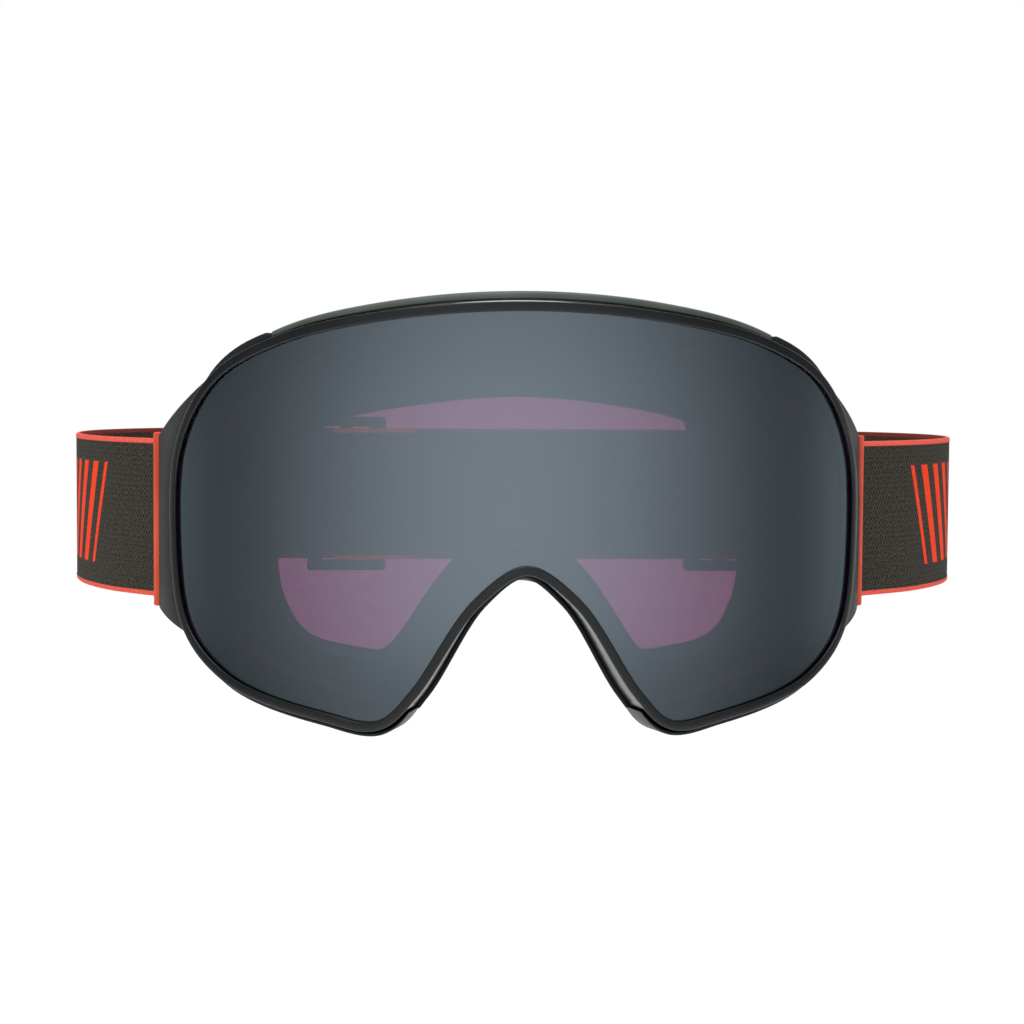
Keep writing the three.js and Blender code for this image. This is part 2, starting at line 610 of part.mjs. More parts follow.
const barHalf = SLIDER_BAR / 2;
place(strapUnit, "strap_right_tail",
  tail(SLIDER_LEFT_X + barHalf + CLEARANCE, STRAP_SPLICE_RIGHT - CLEARANCE, INNER_LAYER_Y), "webbing");
place(strapUnit, "strap_left_tail",
  tail(STRAP_SPLICE_LEFT + CLEARANCE, SLIDER_RIGHT_X - barHalf - CLEARANCE, OUTER_LAYER_Y), "webbing");

// Silicone lines along the inner face of each side.
function grip(path, z) {
  const stretch = path.slice(10, 24);
  const inwards = -(STRAP_THICKNESS + GRIP_THICKNESS) / 2 - 0.1;
  return band(stretch, GRIP_THICKNESS, z - GRIP_WIDTH / 2, z + GRIP_WIDTH / 2, inwards);
}

for (const [name, z] of [["upper", GRIP_OFFSET], ["lower", -GRIP_OFFSET]]) {
  place(strapUnit, `strap_grip_right_${name}`, grip(rightPath, z), "silicone");
  place(strapUnit, `strap_grip_left_${name}`, mirrored(grip(leftPath, z)), "silicone");
}

// A slider: two rails, two outer bars on one side of the webbing that runs through, and on its other
// side the middle bar that holds the other webbing's sewn end.
function slider(x, throughY, endY) {
  const away = Math.sign(throughY - endY);
  const barY = throughY + away * (STRAP_THICKNESS / 2 + CLEARANCE);
  const bars = [barY, barY + away * SLIDER_THICKNESS].sort((a, b) => a - b);
  const middle = [endY - SLIDER_THICKNESS / 2, endY + SLIDER_THICKNESS / 2 - 0.1];
  const depth = [Math.min(bars[0], middle[0]), Math.max(bars[1], middle[1])];
  const [left, right] = [x - SLIDER_WIDTH / 2, x + SLIDER_WIDTH / 2];
  const inner = half + 2 * CLEARANCE;
  const outer = inner + SLIDER_RAIL;
  const shortened = outer - 1;
  return joined([
    box([left, right], depth, [inner, outer]),
    box([left, right], depth, [-outer, -inner]),
    box([left, left + SLIDER_BAR], bars, [-shortened, shortened]),
    box([right - SLIDER_BAR, right], bars, [-shortened, shortened]),
    box([x - barHalf, x + barHalf], middle, [-shortened, shortened]),
  ]);
}

place(strapUnit, "slider_left", slider(SLIDER_LEFT_X, OUTER_LAYER_Y, INNER_LAYER_Y), "slider");
place(strapUnit, "slider_right", slider(SLIDER_RIGHT_X, INNER_LAYER_Y, OUTER_LAYER_Y), "slider");

export default goggles;
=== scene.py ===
"""Ski goggles: lens, rim, frame, foam, wings and strap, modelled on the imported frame, in metres."""

import math

import bmesh
import bpy
from mathutils import Matrix, Vector


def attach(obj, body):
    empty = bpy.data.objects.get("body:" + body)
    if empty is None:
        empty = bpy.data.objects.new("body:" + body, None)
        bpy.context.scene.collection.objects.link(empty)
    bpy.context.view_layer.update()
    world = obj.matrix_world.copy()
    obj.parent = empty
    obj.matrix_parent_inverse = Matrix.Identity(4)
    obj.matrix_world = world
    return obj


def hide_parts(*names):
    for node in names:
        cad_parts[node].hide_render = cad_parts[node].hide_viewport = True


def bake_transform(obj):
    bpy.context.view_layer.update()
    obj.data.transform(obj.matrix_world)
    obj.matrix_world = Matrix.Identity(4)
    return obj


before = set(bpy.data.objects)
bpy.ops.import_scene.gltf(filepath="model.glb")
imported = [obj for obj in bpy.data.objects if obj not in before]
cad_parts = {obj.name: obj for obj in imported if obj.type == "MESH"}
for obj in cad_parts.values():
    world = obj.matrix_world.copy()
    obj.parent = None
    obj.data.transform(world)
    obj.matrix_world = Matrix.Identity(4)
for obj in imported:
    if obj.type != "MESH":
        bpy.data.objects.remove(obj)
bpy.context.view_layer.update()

MM = 0.001

# ------------------------------------------------------------------ sizes, in millimetres

CLEARANCE = 0.3
COLLAR_FIT = 0.5

LENS_HALF_WIDTH = 81.9
LENS_WRAP = math.radians(51.26)
LENS_RADIUS = LENS_HALF_WIDTH / math.sin(LENS_WRAP)
LENS_DEPTH = 50
LENS_TOP = 50.8
LENS_BOTTOM = 42.6
LENS_AXIS_Y = LENS_RADIUS - LENS_DEPTH
LENS_SIDE_Y = LENS_AXIS_Y - LENS_RADIUS * math.cos(LENS_WRAP)
LENS_THICKNESS = 1.4
INNER_LENS_THICKNESS = 0.8
GASKET_THICKNESS = 3.5
GASKET_WIDTH = 4.4
LENS_COLUMN = 1.5  # width of each flat strip of a lens plate
LENS_EASE = 0.1  # how much smaller than its seat each lens plate is all round

RIM_WIDTH = 2.2
RIM_LIP = 0.8
RIM_WALL = 0.7
RIM_FLANGE_REACH = 4.2
RIM_FLANGE_THICKNESS = 2.2
LENS_INSET = RIM_WIDTH - RIM_WALL - CLEARANCE
GASKET_FRONT = LENS_THICKNESS + CLEARANCE
INNER_LENS_FRONT = GASKET_FRONT + GASKET_THICKNESS + CLEARANCE
FLANGE_FRONT = INNER_LENS_FRONT + INNER_LENS_THICKNESS + CLEARANCE
RIM_BACK = FLANGE_FRONT + RIM_FLANGE_THICKNESS
BODY_FRONT = RIM_BACK + CLEARANCE

MAGNET_RADIUS = 1.8
MAGNET_THICKNESS = 1.2
MAGNET_INSET = 1.1
MAGNET_EDGE = 0.18
MAGNETS_TOP_X = (20, 47)
MAGNETS_BOTTOM_X = (62, 43)

BODY_WALL = 1.8
BODY_FLANGE = 2.4
FLANGE_SHARE = 0.12
VENT_FACES = (2, 10)  # body_section's corners at which a vent's outer and inner holes start
WALL_END = 0.06  # how near each end the wall's outer line has a point
COLLAR_THIN = 0.25  # share of the collar's width that is left beside the nose
COLLAR_SWELL = 0.3  # how far through its rise the collar's swelling starts
COLLAR_FRONT = 1.0
COLLAR_DEPTH = 10.5
COLLAR_WIDTH = 0.9
COLLAR_LAP = 0.5  # how far the collar's foot starts behind the frame's front
COLLAR_INNER = RIM_WIDTH + COLLAR_FIT
SHOULDER_WIDTH = 1.8
SHOULDER_END = 0.912
VENT_SHARES = (0.3, 0.68)
VENT_RIB = 0.22
VENT_FOAM = 1.6
VENT_FOAM_LAP = 0.07
TOP_VENTS = (-0.086, 0.086, 7)
BOTTOM_VENTS = (0.295, 0.372, 3)

BROW_HALF_WIDTH = 58.2
BROW_HEIGHT = 1.9
BROW_DEPTH = 10
BROW_NOTCH = 1.1
BROW_TAPER = 0.2  # share of its height that the brow bar loses at its ends
BROW_SLOPE = (0.4, 0.9)  # height and depth of its sloping front edge

FACE_RADIUS = 95
FACE_HALF_WIDTH = 76.5
FACE_TOP = 46
FACE_BOTTOM = 41.5
OPENING_HALF_WIDTH = 59.2
OPENING_TOP = 31
OPENING_BOTTOM = 31.8
OPENING_STEP = 0.6
FOAM_BASE = 8
FOAM_MIDDLE = 8
FLEECE = 3
FOAM_DEPTH = FOAM_BASE + FOAM_MIDDLE + FLEECE + 2 * CLEARANCE
BODY_REAR_GAP = FOAM_DEPTH + CLEARANCE
NOSE_LIP_THICKNESS = 1.2
NOSE_LIP_SHARES = (0.02, 0.94)
STATIONS = 72  # the frame's own steps round an outline
NOSE_LIP_END = 29 / STATIONS
COLLAR_STOP = 0.03  # gap between the collar's end and the nose lip, in stations
COLLAR_FADE = 0.03  # the stretch of outline over which the collar thins towards the nose
WIDEST = 5 / 24  # where along every outline its widest point lies

WING_REAR_X = LENS_HALF_WIDTH + 6.4
WING_REAR_Y = LENS_SIDE_Y + 18.7
WING_THICKNESS = 2.6
WING_TOP = 0.905
WING_BOTTOM = 0.958
WING_DROP = 0.5  # how far the wing's rear edge sits below the eye line
WING_BULGE = (0.87, -0.5, 0)  # how its middle swells outwards and forwards
WING_DEPTHS = (COLLAR_FRONT + 0.6, COLLAR_FRONT + COLLAR_DEPTH - 1.5)  # where it leaves the collar

STRAP_HEIGHT = 40
STRAP_THICKNESS = 1.8
STRAP_BULGE_RIGHT = 39.3
STRAP_BULGE_LEFT = 28.7
STRAP_REAR_Y = 134
STRAP_STRAIGHT = 88
STRAP_LEAD = 1.5  # length that leaves the anchor straight backwards
STRAP_EASE = 5  # how far its last turn reaches into the straight rear stretch
WING_REAR_HEIGHT = STRAP_HEIGHT + 3
ANCHOR_LAP = 1.7
ANCHOR_WIDTH = 4.4
ANCHOR_DEPTH = 4
ANCHOR_PROUD = 1.5  # how far the anchor stands out past the wing's rear edge
ANCHOR_SLOPE = (0.8, 1.4)  # width and depth of its sloping front edge
ANCHOR_FRONT_Y = WING_REAR_Y + CLEARANCE
STRAP_START_X = WING_REAR_X - 0.4
STRAP_START_Y = ANCHOR_FRONT_Y + ANCHOR_DEPTH + CLEARANCE
LAYER_SHIFT = 1.2
INNER_LAYER_Y = STRAP_REAR_Y - LAYER_SHIFT
OUTER_LAYER_Y = STRAP_REAR_Y + LAYER_SHIFT
EDGE_BINDING = 1.2
RIB = 1.3  # pitch of the webbing's woven ribs
BAR_PITCH = 8
BAR_LEAN = 0.35  # how far the bars lean along the webbing for each millimetre of height
BARS_START = 30  # length of webbing from the anchor to the bars
BARS_END = 62
BAR_REACH = 13.2  # half of the bars' height
BAR_EDGE = 0.3
GRIP_WIDTH = 3
GRIP_THICKNESS = 0.6
GRIP_OFFSET = 9
GRIP_LIFT = 0.1
GRIP_STEPS = (40, 94)  # where it starts and ends, in 120ths of the strap's side
SLIDER_LEFT_X = -43.3
SLIDER_RIGHT_X = 73
SLIDER_WIDTH = 24
SLIDER_RAIL = 2.9
SLIDER_BAR = 4.6
SLIDER_THICKNESS = 2.2
MIDDLE_BAR_HALF_WIDTH = 1.9
MIDDLE_BAR_FACES = (0.7, 1.7)  # how far each of its faces lies from the webbing's own plane
LOOP_TURN = 3.1  # how far past the slider's middle bar the webbing's loop turns back
FLAP = 21  # length of the sewn flap
FLAP_LIFT = 1.95  # distance between the middles of the flap and of the webbing under it
LOOP_NEAR = -0.4  # lift of the webbing as it passes the bar, then as it comes back over it
LOOP_FAR = 2.6
FLAP_SEAM_START = 11
FLAP_SEAM_END = 1.5  # distance of the sewn box from the flap's end
FLAP_SEAM_REACH = 16  # half of the sewn box's height
THREAD = 0.42
THREAD_LIFT = 0.02
STITCH_LENGTH = 1.9
STITCH_GAP = 0.14  # share of the pitch left bare at each end of a stitch in the flap
STITCH_PITCH = 2.7
STITCH_COUNT = 13
STITCH_ROWS = (2.2, 4.4)  # distance of each row behind the anchor

# One side of the strap seen from above: shares of how far it bulges outwards and of its way back.
STRAP_PLAN = [(0, 0), (0.49, 0.15), (0.85, 0.33), (1, 0.53), (0.93, 0.73), (0.6, 0.9), (0.28, 0.972)]

# The loop round the slider's bar: distance from the bar, and lift off the webbing's own plane.
LOOP_PLAN = [
    (12, 0), (7, -0.1), (3, LOOP_NEAR), (1.2 - LOOP_TURN, LOOP_NEAR), (-0.4 - LOOP_TURN, 1.1),
    (1.2 - LOOP_TURN, LOOP_FAR), (3, LOOP_FAR), (8, 2.05), (FLAP - 4, FLAP_LIFT), (FLAP, FLAP_LIFT),
]

# Right half of each outline from top centre, round the cheek, to the middle of the nose: shares of
# the half width and of the height above or below the eye line.
LENS_SHAPE = [
    (0, 1), (0.366, 0.961), (0.684, 0.85), (0.885, 0.661), (0.984, 0.354), (1, 0), (0.967, -0.528),
    (0.842, -0.805), (0.562, -0.969), (0.413, -1), (0.324, -0.84), (0.149, -0.338), (0, -0.155),
]
FACE_SHAPE = [
    (0, 1), (0.366, 0.967), (0.68, 0.848), (0.876, 0.652), (0.98, 0.348), (1, 0), (0.967, -0.506),
    (0.85, -0.795), (0.588, -0.964), (0.43, -1), (0.362, -0.8), (0.195, -0.42), (0, -0.268),
]
OPENING_SHAPE = [
    (0, 1), (0.397, 0.935), (0.744, 0.79), (0.909, 0.581), (0.983, 0.258), (1, -0.157), (0.967, -0.629),
    (0.866, -0.9), (0.635, -0.995), (0.556, -1), (0.51, -0.935), (0.245, -0.258), (0, -0.016),
]

RING_STEPS = 216  # steps round every swept ring


# ------------------------------------------------------------------ outlines

def curve_point(p, w):
    """A place between the second and the third of four points, on a centripetal Catmull-Rom curve."""
    gap = [math.sqrt((p[k + 1] - p[k]).length) for k in range(3)]
    start = (p[1] - p[0]) / gap[0] - (p[2] - p[0]) / (gap[0] + gap[1]) + (p[2] - p[1]) / gap[1]
    end = (p[2] - p[1]) / gap[1] - (p[3] - p[1]) / (gap[1] + gap[2]) + (p[3] - p[2]) / gap[2]
    start, end = start * gap[1], end * gap[1]
    square = -3 * p[1] + 3 * p[2] - 2 * start - end
    cube = 2 * p[1] - 2 * p[2] + start + end
    return p[1] + start * w + square * w * w + cube * w ** 3


class Outline:
    """A closed smooth curve through a shape's right half and its mirror image."""

    def __init__(self, shape, half_width, top, bottom, bend=lambda x: x):
        right = [Vector((bend(x * half_width), z * (top if z > 0 else bottom))) for x, z in shape]
        left = [Vector((-p.x, p.y)) for p in reversed(right[1:-1])]
        self.points = right + left
        self.cache = {}

    def place(self, t):
        count = len(self.points)
        along = (t % 1) * count
        first = int(along)
        return curve_point([self.points[(first + k) % count] for k in (-1, 0, 1, 2)], along % 1)

    def at(self, t, outwards=0):
        """The point at t, moved outwards in the outline's own plane."""
        key = round(t % 1, 7)
        if key not in self.cache:
            along = (self.place(t + 1e-4) - self.place(t - 1e-4)).normalized()
            self.cache[key] = (self.place(t), Vector((-along.y, along.x)))
        place, normal = self.cache[key]
        return place + normal * outwards

    def reaching(self, x, upper):
        """Where along the right half the outline reaches x, on its upper or its lower run."""
        near, far = (0, WIDEST) if upper else (0.5, WIDEST)
        for _ in range(40):
            middle = (near + far) / 2
            near, far = (middle, far) if self.place(middle).x < x else (near, middle)
        return (near + far) / 2


def arc(x):
    return LENS_RADIUS * math.asin(x / LENS_RADIUS)


lens_edge = Outline(LENS_SHAPE, LENS_HALF_WIDTH, LENS_TOP, LENS_BOTTOM, arc)
face_edge = Outline(FACE_SHAPE, FACE_HALF_WIDTH, FACE_TOP, FACE_BOTTOM)
opening_edge = Outline(OPENING_SHAPE, OPENING_HALF_WIDTH, OPENING_TOP, OPENING_BOTTOM)


def rolled(x, z, depth):
    """A point of the unrolled lens, put back on its cylinder, a depth behind the outer surface."""
    angle = x / LENS_RADIUS
    radius = LENS_RADIUS - depth
    return Vector((radius * math.sin(angle), LENS_AXIS_Y - radius * math.cos(angle), z))


def lens_point(t, outwards, depth):
    return rolled(*lens_edge.at(t, outwards), depth)


def face_point(curve, t, outwards, height):
    """A point of a face-side outline, a height in front of the surface that rests on the face."""
    x, z = curve.at(t, outwards)
    return Vector((x, FACE_RADIUS - math.sqrt(FACE_RADIUS ** 2 - x * x) - height, z))


def shell_point(t, share, inset):
    """A point of the frame's wall: share 0 is behind the rim, 1 at the foam; inset goes inwards."""
    front = lens_point(t, RIM_WIDTH - inset, BODY_FRONT)
    return front.lerp(face_point(face_edge, t, -inset, BODY_REAR_GAP), share)


def spread(start, end, steps):
    return [start + (end - start) * i / steps for i in range(steps + 1)]


ROUND = spread(0, 1, RING_STEPS)[:-1]


# ------------------------------------------------------------------ mesh helpers

def rounded(corners, radius, steps=3):
    """A closed section with each corner replaced by a short curve."""
    section = []
    for i, corner in enumerate(corners):
        before, after = corners[i - 1] - corner, corners[(i + 1) % len(corners)] - corner
        reach = min(radius, before.length * 0.45, after.length * 0.45)
        start, end = corner + before.normalized() * reach, corner + after.normalized() * reach
        for w in spread(0, 1, steps):
            section.append(start.lerp(corner, w).lerp(corner.lerp(end, w), w))
    return section


def round_edges(bm, edges, radius, segments=3):
    bmesh.ops.bevel(bm, geom=edges, offset=radius, segments=segments, profile=0.5, affect="EDGES",
                    clamp_overlap=True, material=-1)


def number_layer(bm, name):
    """The mesh's own number for each vertex, under that name."""
    return bm.verts.layers.float.get(name) or bm.verts.layers.float.new(name)


def sweep(bm, sections, closed, along=None, facing=None, soften=0):
    """Extrudes the first section's loop from section to section; an open sweep gets two end caps.

    along is the length travelled at each section, and facing is 1 at a section's outer points, else 0."""
    travelled, outer = number_layer(bm, "along"), number_layer(bm, "facing")
    loop = [bm.verts.new(p) for p in sections[0]]
    count = len(loop)
    edges = [bm.edges.new((loop[i], loop[(i + 1) % count])) for i in range(count)]
    first = edges
    along, facing = along or [0] * len(sections), facing or [0] * count
    for v, side in zip(loop, facing):
        v[travelled], v[outer] = along[0], side
    for step, section in enumerate(sections[1:], 1):
        made = set(bmesh.ops.extrude_edge_only(bm, edges=edges)["geom"])
        loop = [next(e.other_vert(v) for e in v.link_edges if e.other_vert(v) in made) for v in loop]
        for v, place, side in zip(loop, section, facing):
            v.co = place
            v[travelled], v[outer] = along[step], side
        edges = [bm.edges.get((loop[i], loop[(i + 1) % count])) for i in range(count)]
    if closed:
        bmesh.ops.bridge_loops(bm, edges=first + edges)
        return
    for ends in (first, edges):
        bmesh.ops.contextual_create(bm, geom=ends)
        if soften:
            round_edges(bm, ends, soften)


def block(bm, low, high, radius, segments=3):
    """A box between two corners, with rounded edges."""
    made = bmesh.ops.create_cube(bm, size=1)["verts"]
    low, high = Vector(low), Vector(high)
    bmesh.ops.scale(bm, vec=high - low, verts=made)
    bmesh.ops.translate(bm, vec=(low + high) / 2, verts=made)
    round_edges(bm, list({e for v in made for e in v.link_edges}), radius, segments)


def mirrored(bm):
    """Turns the whole mesh into its mirror image."""
    bmesh.ops.scale(bm, vec=(-1, 1, 1), verts=bm.verts)


def place_mesh(name, bm, material):
    mesh = bpy.data.meshes.new(name)
    bm.to_mesh(mesh)
    bm.free()
    mesh.materials.append(material)
    thing = bpy.data.objects.new(name, mesh)
    bpy.context.collection.objects.link(thing)
    return thing


def piece(name, bm, material, body, nodes=(), sharp=38):
    """Makes a finished object from a mesh in millimetres and puts it on its body."""
    bmesh.ops.remove_doubles(bm, verts=bm.verts, dist=1e-5)
    bmesh.ops.recalc_face_normals(bm, faces=bm.faces)
    bmesh.ops.scale(bm, vec=(MM, MM, MM), verts=bm.verts)
    for face in bm.faces:
        face.smooth = True
    thing = place_mesh(name, bm, material)
    thing.data.set_sharp_from_angle(angle=math.radians(sharp))
    if body:
        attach(thing, body)
    if nodes:
        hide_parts(*nodes)
    return thing


# ------------------------------------------------------------------ materials

def paint(red, green, blue):
    """A screen colour, 0 to 255, as linear light."""
    def linear(c):
        c /= 255
        return c / 12.92 if c <= 0.04045 else ((c + 0.055) / 1.055) ** 2.4
    return (linear(red), linear(green), linear(blue), 1)


class Value:
    """A number that varies over a surface; arithmetic on it adds Math nodes."""

    def __init__(self, finish, socket):
        self.finish = finish
        self.socket = socket

    def math(self, operation, *values):
        inputs = dict(enumerate((self, *values)))
        return self.finish.value("ShaderNodeMath", {"operation": operation}, inputs)

    def __add__(self, other):
        return self.math("ADD", other)

    def __sub__(self, other):
        return self.math("SUBTRACT", other)

    def __rsub__(self, other):
        return self * -1 + other

    def __mul__(self, other):
        return self.math("MULTIPLY", other)

    def __truediv__(self, other):
        return self.math("DIVIDE", other)

    __radd__ = __add__
    __rmul__ = __mul__

    def size(self):
        """The number without its sign."""
        return self.math("ABSOLUTE")

    def part(self):
        """What is left over after the whole number below it."""
        return self.math("FRACT")

    def zigzag(self):
        """1 at each whole number and 0 half way between two."""
        return (self.part() - 0.5).size() * 2

    def step(self, low, high):
        """0 below low, 1 above high, smooth between."""
        sockets = {"Value": self, "From Min": low, "From Max": high}
        return self.finish.value("ShaderNodeMapRange", {"interpolation_type": "SMOOTHSTEP"}, sockets)


class Finish:
    """A node material, built up by name."""

    def __init__(self, name):
        self.material = bpy.data.materials.new(name)
        self.material.use_nodes = True
        self.tree = self.material.node_tree
        self.tree.nodes.clear()

    def node(self, kind, settings=None, sockets=None):
        made = self.tree.nodes.new(kind)
        for key, setting in (settings or {}).items():
            setattr(made, key, setting)
        for key, given in (sockets or {}).items():
            given = given.socket if isinstance(given, Value) else given
            if isinstance(given, bpy.types.NodeSocket):
                self.tree.links.new(given, made.inputs[key])
            else:
                made.inputs[key].default_value = given
        return made

    def value(self, kind, settings=None, sockets=None, output=0):
        return Value(self, self.node(kind, settings, sockets).outputs[output])

    def coordinates(self):
        return self.node("ShaderNodeTexCoord").outputs["Object"]

    def axes(self, vector=None):
        split = self.node("ShaderNodeSeparateXYZ", None, {0: vector or self.coordinates()})
        return [Value(self, split.outputs[k]) for k in range(3)]

    def vector(self, x, y, z=0.0):
        return self.node("ShaderNodeCombineXYZ", None, {0: x, 1: y, 2: z}).outputs[0]

    def noise(self, size, vector=None, detail=2.0, roughness=0.5):
        """Noise with features about that many millimetres across."""
        vector = vector or self.coordinates()
        sockets = {"Vector": vector, "Scale": 1 / (size * MM), "Detail": detail, "Roughness": roughness}
        return self.value("ShaderNodeTexNoise", None, sockets)

    def cells(self, size, vector=None):
        sockets = {"Vector": vector or self.coordinates(), "Scale": 1 / (size * MM)}
        return self.value("ShaderNodeTexVoronoi", None, sockets)

    def mix(self, share, a, b):
        """A colour between two others."""
        return self.node("ShaderNodeMix", {"data_type": "RGBA"}, {0: share, 6: a, 7: b}).outputs[2]

    def bump(self, height, distance, strength=1.0):
        sockets = {"Height": height, "Distance": distance * MM, "Strength": strength}
        return self.node("ShaderNodeBump", None, sockets).outputs[0]

    def attribute(self, name):
        return self.value("ShaderNodeAttribute", {"attribute_name": name}, output=2)

    def streaks(self, size, finer):
        """Noise that many times finer along Z, so that it lies in level streaks."""
        mapping = {"Vector": self.coordinates(), "Scale": (1, 1, finer)}
        return self.noise(size, self.node("ShaderNodeMapping", None, mapping).outputs[0])

    def surface(self, shader):
        """Ends the material with a shader and gives it back."""
        out = self.node("ShaderNodeOutputMaterial")
        self.tree.links.new(shader.outputs[0], out.inputs["Surface"])
        return self.material

    def principled(self, sockets):
        return self.surface(self.node("ShaderNodeBsdfPrincipled", None, sockets))


def moulded(name, dark, light, rough, grain, relief, specular=0.5):
    """Moulded plastic or rubber: fine grain, slow shade changes and faint handling marks."""
    f = Finish(name)
    slow, fine, scuffs = f.noise(14), f.noise(grain, detail=3), f.streaks(2.2, finer=6)
    worn = scuffs.step(0.66, 0.8)
    shade = slow.step(0.3, 0.7) * 0.6 + fine.step(0.3, 0.75) * 0.25 + worn * 0.15
    return f.principled({
        "Base Color": f.mix(shade, paint(*dark), paint(*light)),
        "Roughness": rough + fine * 0.1 + worn * 0.08,
        "Specular IOR Level": specular,
        "Normal": f.bump(fine, relief)})


def foamed(name, dark, light, pore, relief, sheen=0.0):
    """Open foam or brushed fleece: pores or fibres over an uneven shade."""
    f = Finish(name)
    pores, fibres, slow = f.cells(pore), f.noise(pore * 0.5, detail=4), f.noise(9)
    shade = fibres.step(0.3, 0.7) * 0.6 + slow * 0.25 + pores * 0.3
    return f.principled({
        "Base Color": f.mix(shade, paint(*dark), paint(*light)),
        "Roughness": 0.88 + fibres * 0.1,
        "Sheen Weight": sheen,
        "Sheen Roughness": 0.5,
        "Specular IOR Level": 0.2,
        "Normal": f.bump(pores + fibres * 0.5, relief)})


def webbing(name):
    """Elastic webbing: flecked herringbone, coral bound edges, slanted orange bars on its outer face, and
    painted shade on the binding of its inner face.
    """
    f = Finish(name)
    along, facing = f.attribute("along") * MM, f.attribute("facing")
    across = f.axes()[2]
    # A herringbone: the twill leans the other way at every rib, and each stitch is light in its middle.
    rib = RIB * MM
    ribs = across / rib
    stitches = (along / rib * 1.15 + (ribs * 0.5).zigzag() * 1.1).zigzag()
    weave = (1 - stitches).step(0.1, 0.8) * (1 - ribs.zigzag().step(0.55, 1) * 0.5)
    slanted = f.vector(along * 1.6 + across * 1.1, across * 3.2 - along * 1.1)
    flecks, slubs = f.noise(1.8, slanted, detail=5, roughness=0.8), f.noise(0.9, slanted, detail=3)
    shade = flecks.step(0.44, 0.6) * 0.35 + slubs.step(0.44, 0.64) * 0.2 + weave * 0.45
    heather = f.mix(shade, paint(4, 4, 3), paint(82, 77, 68))
    bound = STRAP_HEIGHT / 2 - EDGE_BINDING
    edge = across.size().step((bound - 0.15) * MM, (bound + 0.05) * MM)
    # Plain parallel bars at each side, all leaning the same way; slant is measured in millimetres.
    slant = along * (1 / MM) + across * (BAR_LEAN / MM)
    zone = slant.step(BARS_START, BARS_START + BAR_EDGE) * (1 - slant.step(BARS_END, BARS_END + BAR_EDGE))
    zone = zone * (1 - across.size().step(BAR_REACH * MM, (BAR_REACH + BAR_EDGE) * MM))
    bars = (slant / BAR_PITCH).part().step(0.5, 0.54) * zone * facing.step(0.4, 0.6)
    orange = f.mix(flecks.step(0.3, 0.8), paint(232, 52, 16), paint(250, 78, 34))
    coral = f.mix(slubs.step(0.3, 0.8), paint(214, 72, 58), paint(242, 114, 96))
    # Painted shade: the binding on the inner face, towards the head, is a darker copy of the coral.
    painted_shade_coral = f.mix(slubs.step(0.3, 0.8), paint(96, 34, 28), paint(132, 52, 42))
    binding = f.mix(facing.step(0.1, 0.5), painted_shade_coral, coral)
    return f.principled({
        "Base Color": f.mix(edge, f.mix(bars, heather, orange), binding),
        "Roughness": 0.85 + slubs * 0.12,
        "Sheen Weight": 0.02,
        "Sheen Roughness": 0.5,
        "Specular IOR Level": 0.1,
        "Normal": f.bump(weave * 1.2 + flecks * 0.8 + bars * 0.4, 0.24)})


def coated_lens(name, metal, tint, share, rough):
    """A mirror coating that lets some tinted light through; share is how much of it is mirror."""
    f = Finish(name)
    cloudy, fine = f.noise(30), f.noise(0.8, detail=3)
    shine = f.node("ShaderNodeBsdfPrincipled", None, {
        "Base Color": f.mix(cloudy, tuple(0.97 * c for c in metal), metal),
        "Metallic": 1.0,
        "Roughness": rough + fine * 0.015 + cloudy * 0.01})
    clear = f.node("ShaderNodeBsdfTransparent", None, {"Color": tint})
    mixed = f.node("ShaderNodeMixShader", None, {0: share, 1: clear.outputs[0], 2: shine.outputs[0]})
    return f.surface(mixed)


def nickel(name):
    f = Finish(name)
    brushed = f.streaks(0.3, finer=8)
    return f.principled({
        "Base Color": f.mix(brushed, paint(170, 171, 174), paint(206, 207, 210)),
        "Metallic": 1.0,
        "Roughness": 0.22 + brushed * 0.16,
        "Normal": f.bump(brushed, 0.004)})


# Moulded finishes: darkest and lightest shade, roughness, then grain and relief in millimetres.
# Foamed finishes: darkest and lightest shade, then pore and relief in millimetres.
mirror_finish = coated_lens("mirror_lens", metal=(0.30, 0.40, 0.44, 1), tint=(0.70, 0.35, 0.56, 1),
                            share=0.5, rough=0.12)
clear_finish = coated_lens("clear_lens", metal=(0.5, 0.5, 0.52, 1), tint=(0.98, 0.95, 0.98, 1),
                           share=0.05, rough=0.06)
gasket_finish = foamed("gasket_foam", (34, 36, 38), (48, 50, 52), 0.5, 0.05)
rim_finish = moulded("rim_plastic", (11, 13, 15), (19, 22, 24), 0.2, 0.3, 0.003, specular=0.36)
frame_finish = moulded("frame_plastic", (19, 21, 23), (30, 32, 35), 0.4, 0.4, 0.02, specular=0.24)
trim_finish = moulded("brow_trim", (60, 67, 61), (78, 86, 78), 0.36, 0.35, 0.012, specular=0.38)
nose_finish = moulded("nose_rubber", (22, 23, 25), (36, 38, 40), 0.55, 0.45, 0.02, specular=0.22)
vent_finish = foamed("vent_foam", (20, 21, 22), (40, 41, 43), 1.1, 0.35)
foam_finish = foamed("face_foam", (26, 27, 29), (44, 45, 48), 0.7, 0.18)
fleece_finish = foamed("fleece", (24, 25, 27), (46, 47, 50), 0.45, 0.28, sheen=0.35)
wing_finish = moulded("wing_plastic", (19, 23, 21), (28, 33, 30), 0.46, 0.4, 0.012, specular=0.1)
magnet_finish = nickel("magnet")
anchor_finish = moulded("anchor_plastic", (178, 58, 30), (204, 76, 44), 0.5, 0.4, 0.02, specular=0.22)
webbing_finish = webbing("webbing")
silicone_finish = moulded("silicone", (206, 84, 48), (226, 108, 70), 0.5, 0.5, 0.02)
slider_finish = moulded("slider_plastic", (24, 25, 26), (38, 39, 41), 0.4, 0.35, 0.015, specular=0.3)
thread_finish = moulded("thread", (44, 40, 34), (88, 82, 72), 0.8, 0.12, 0.03)


# ------------------------------------------------------------------ lens unit

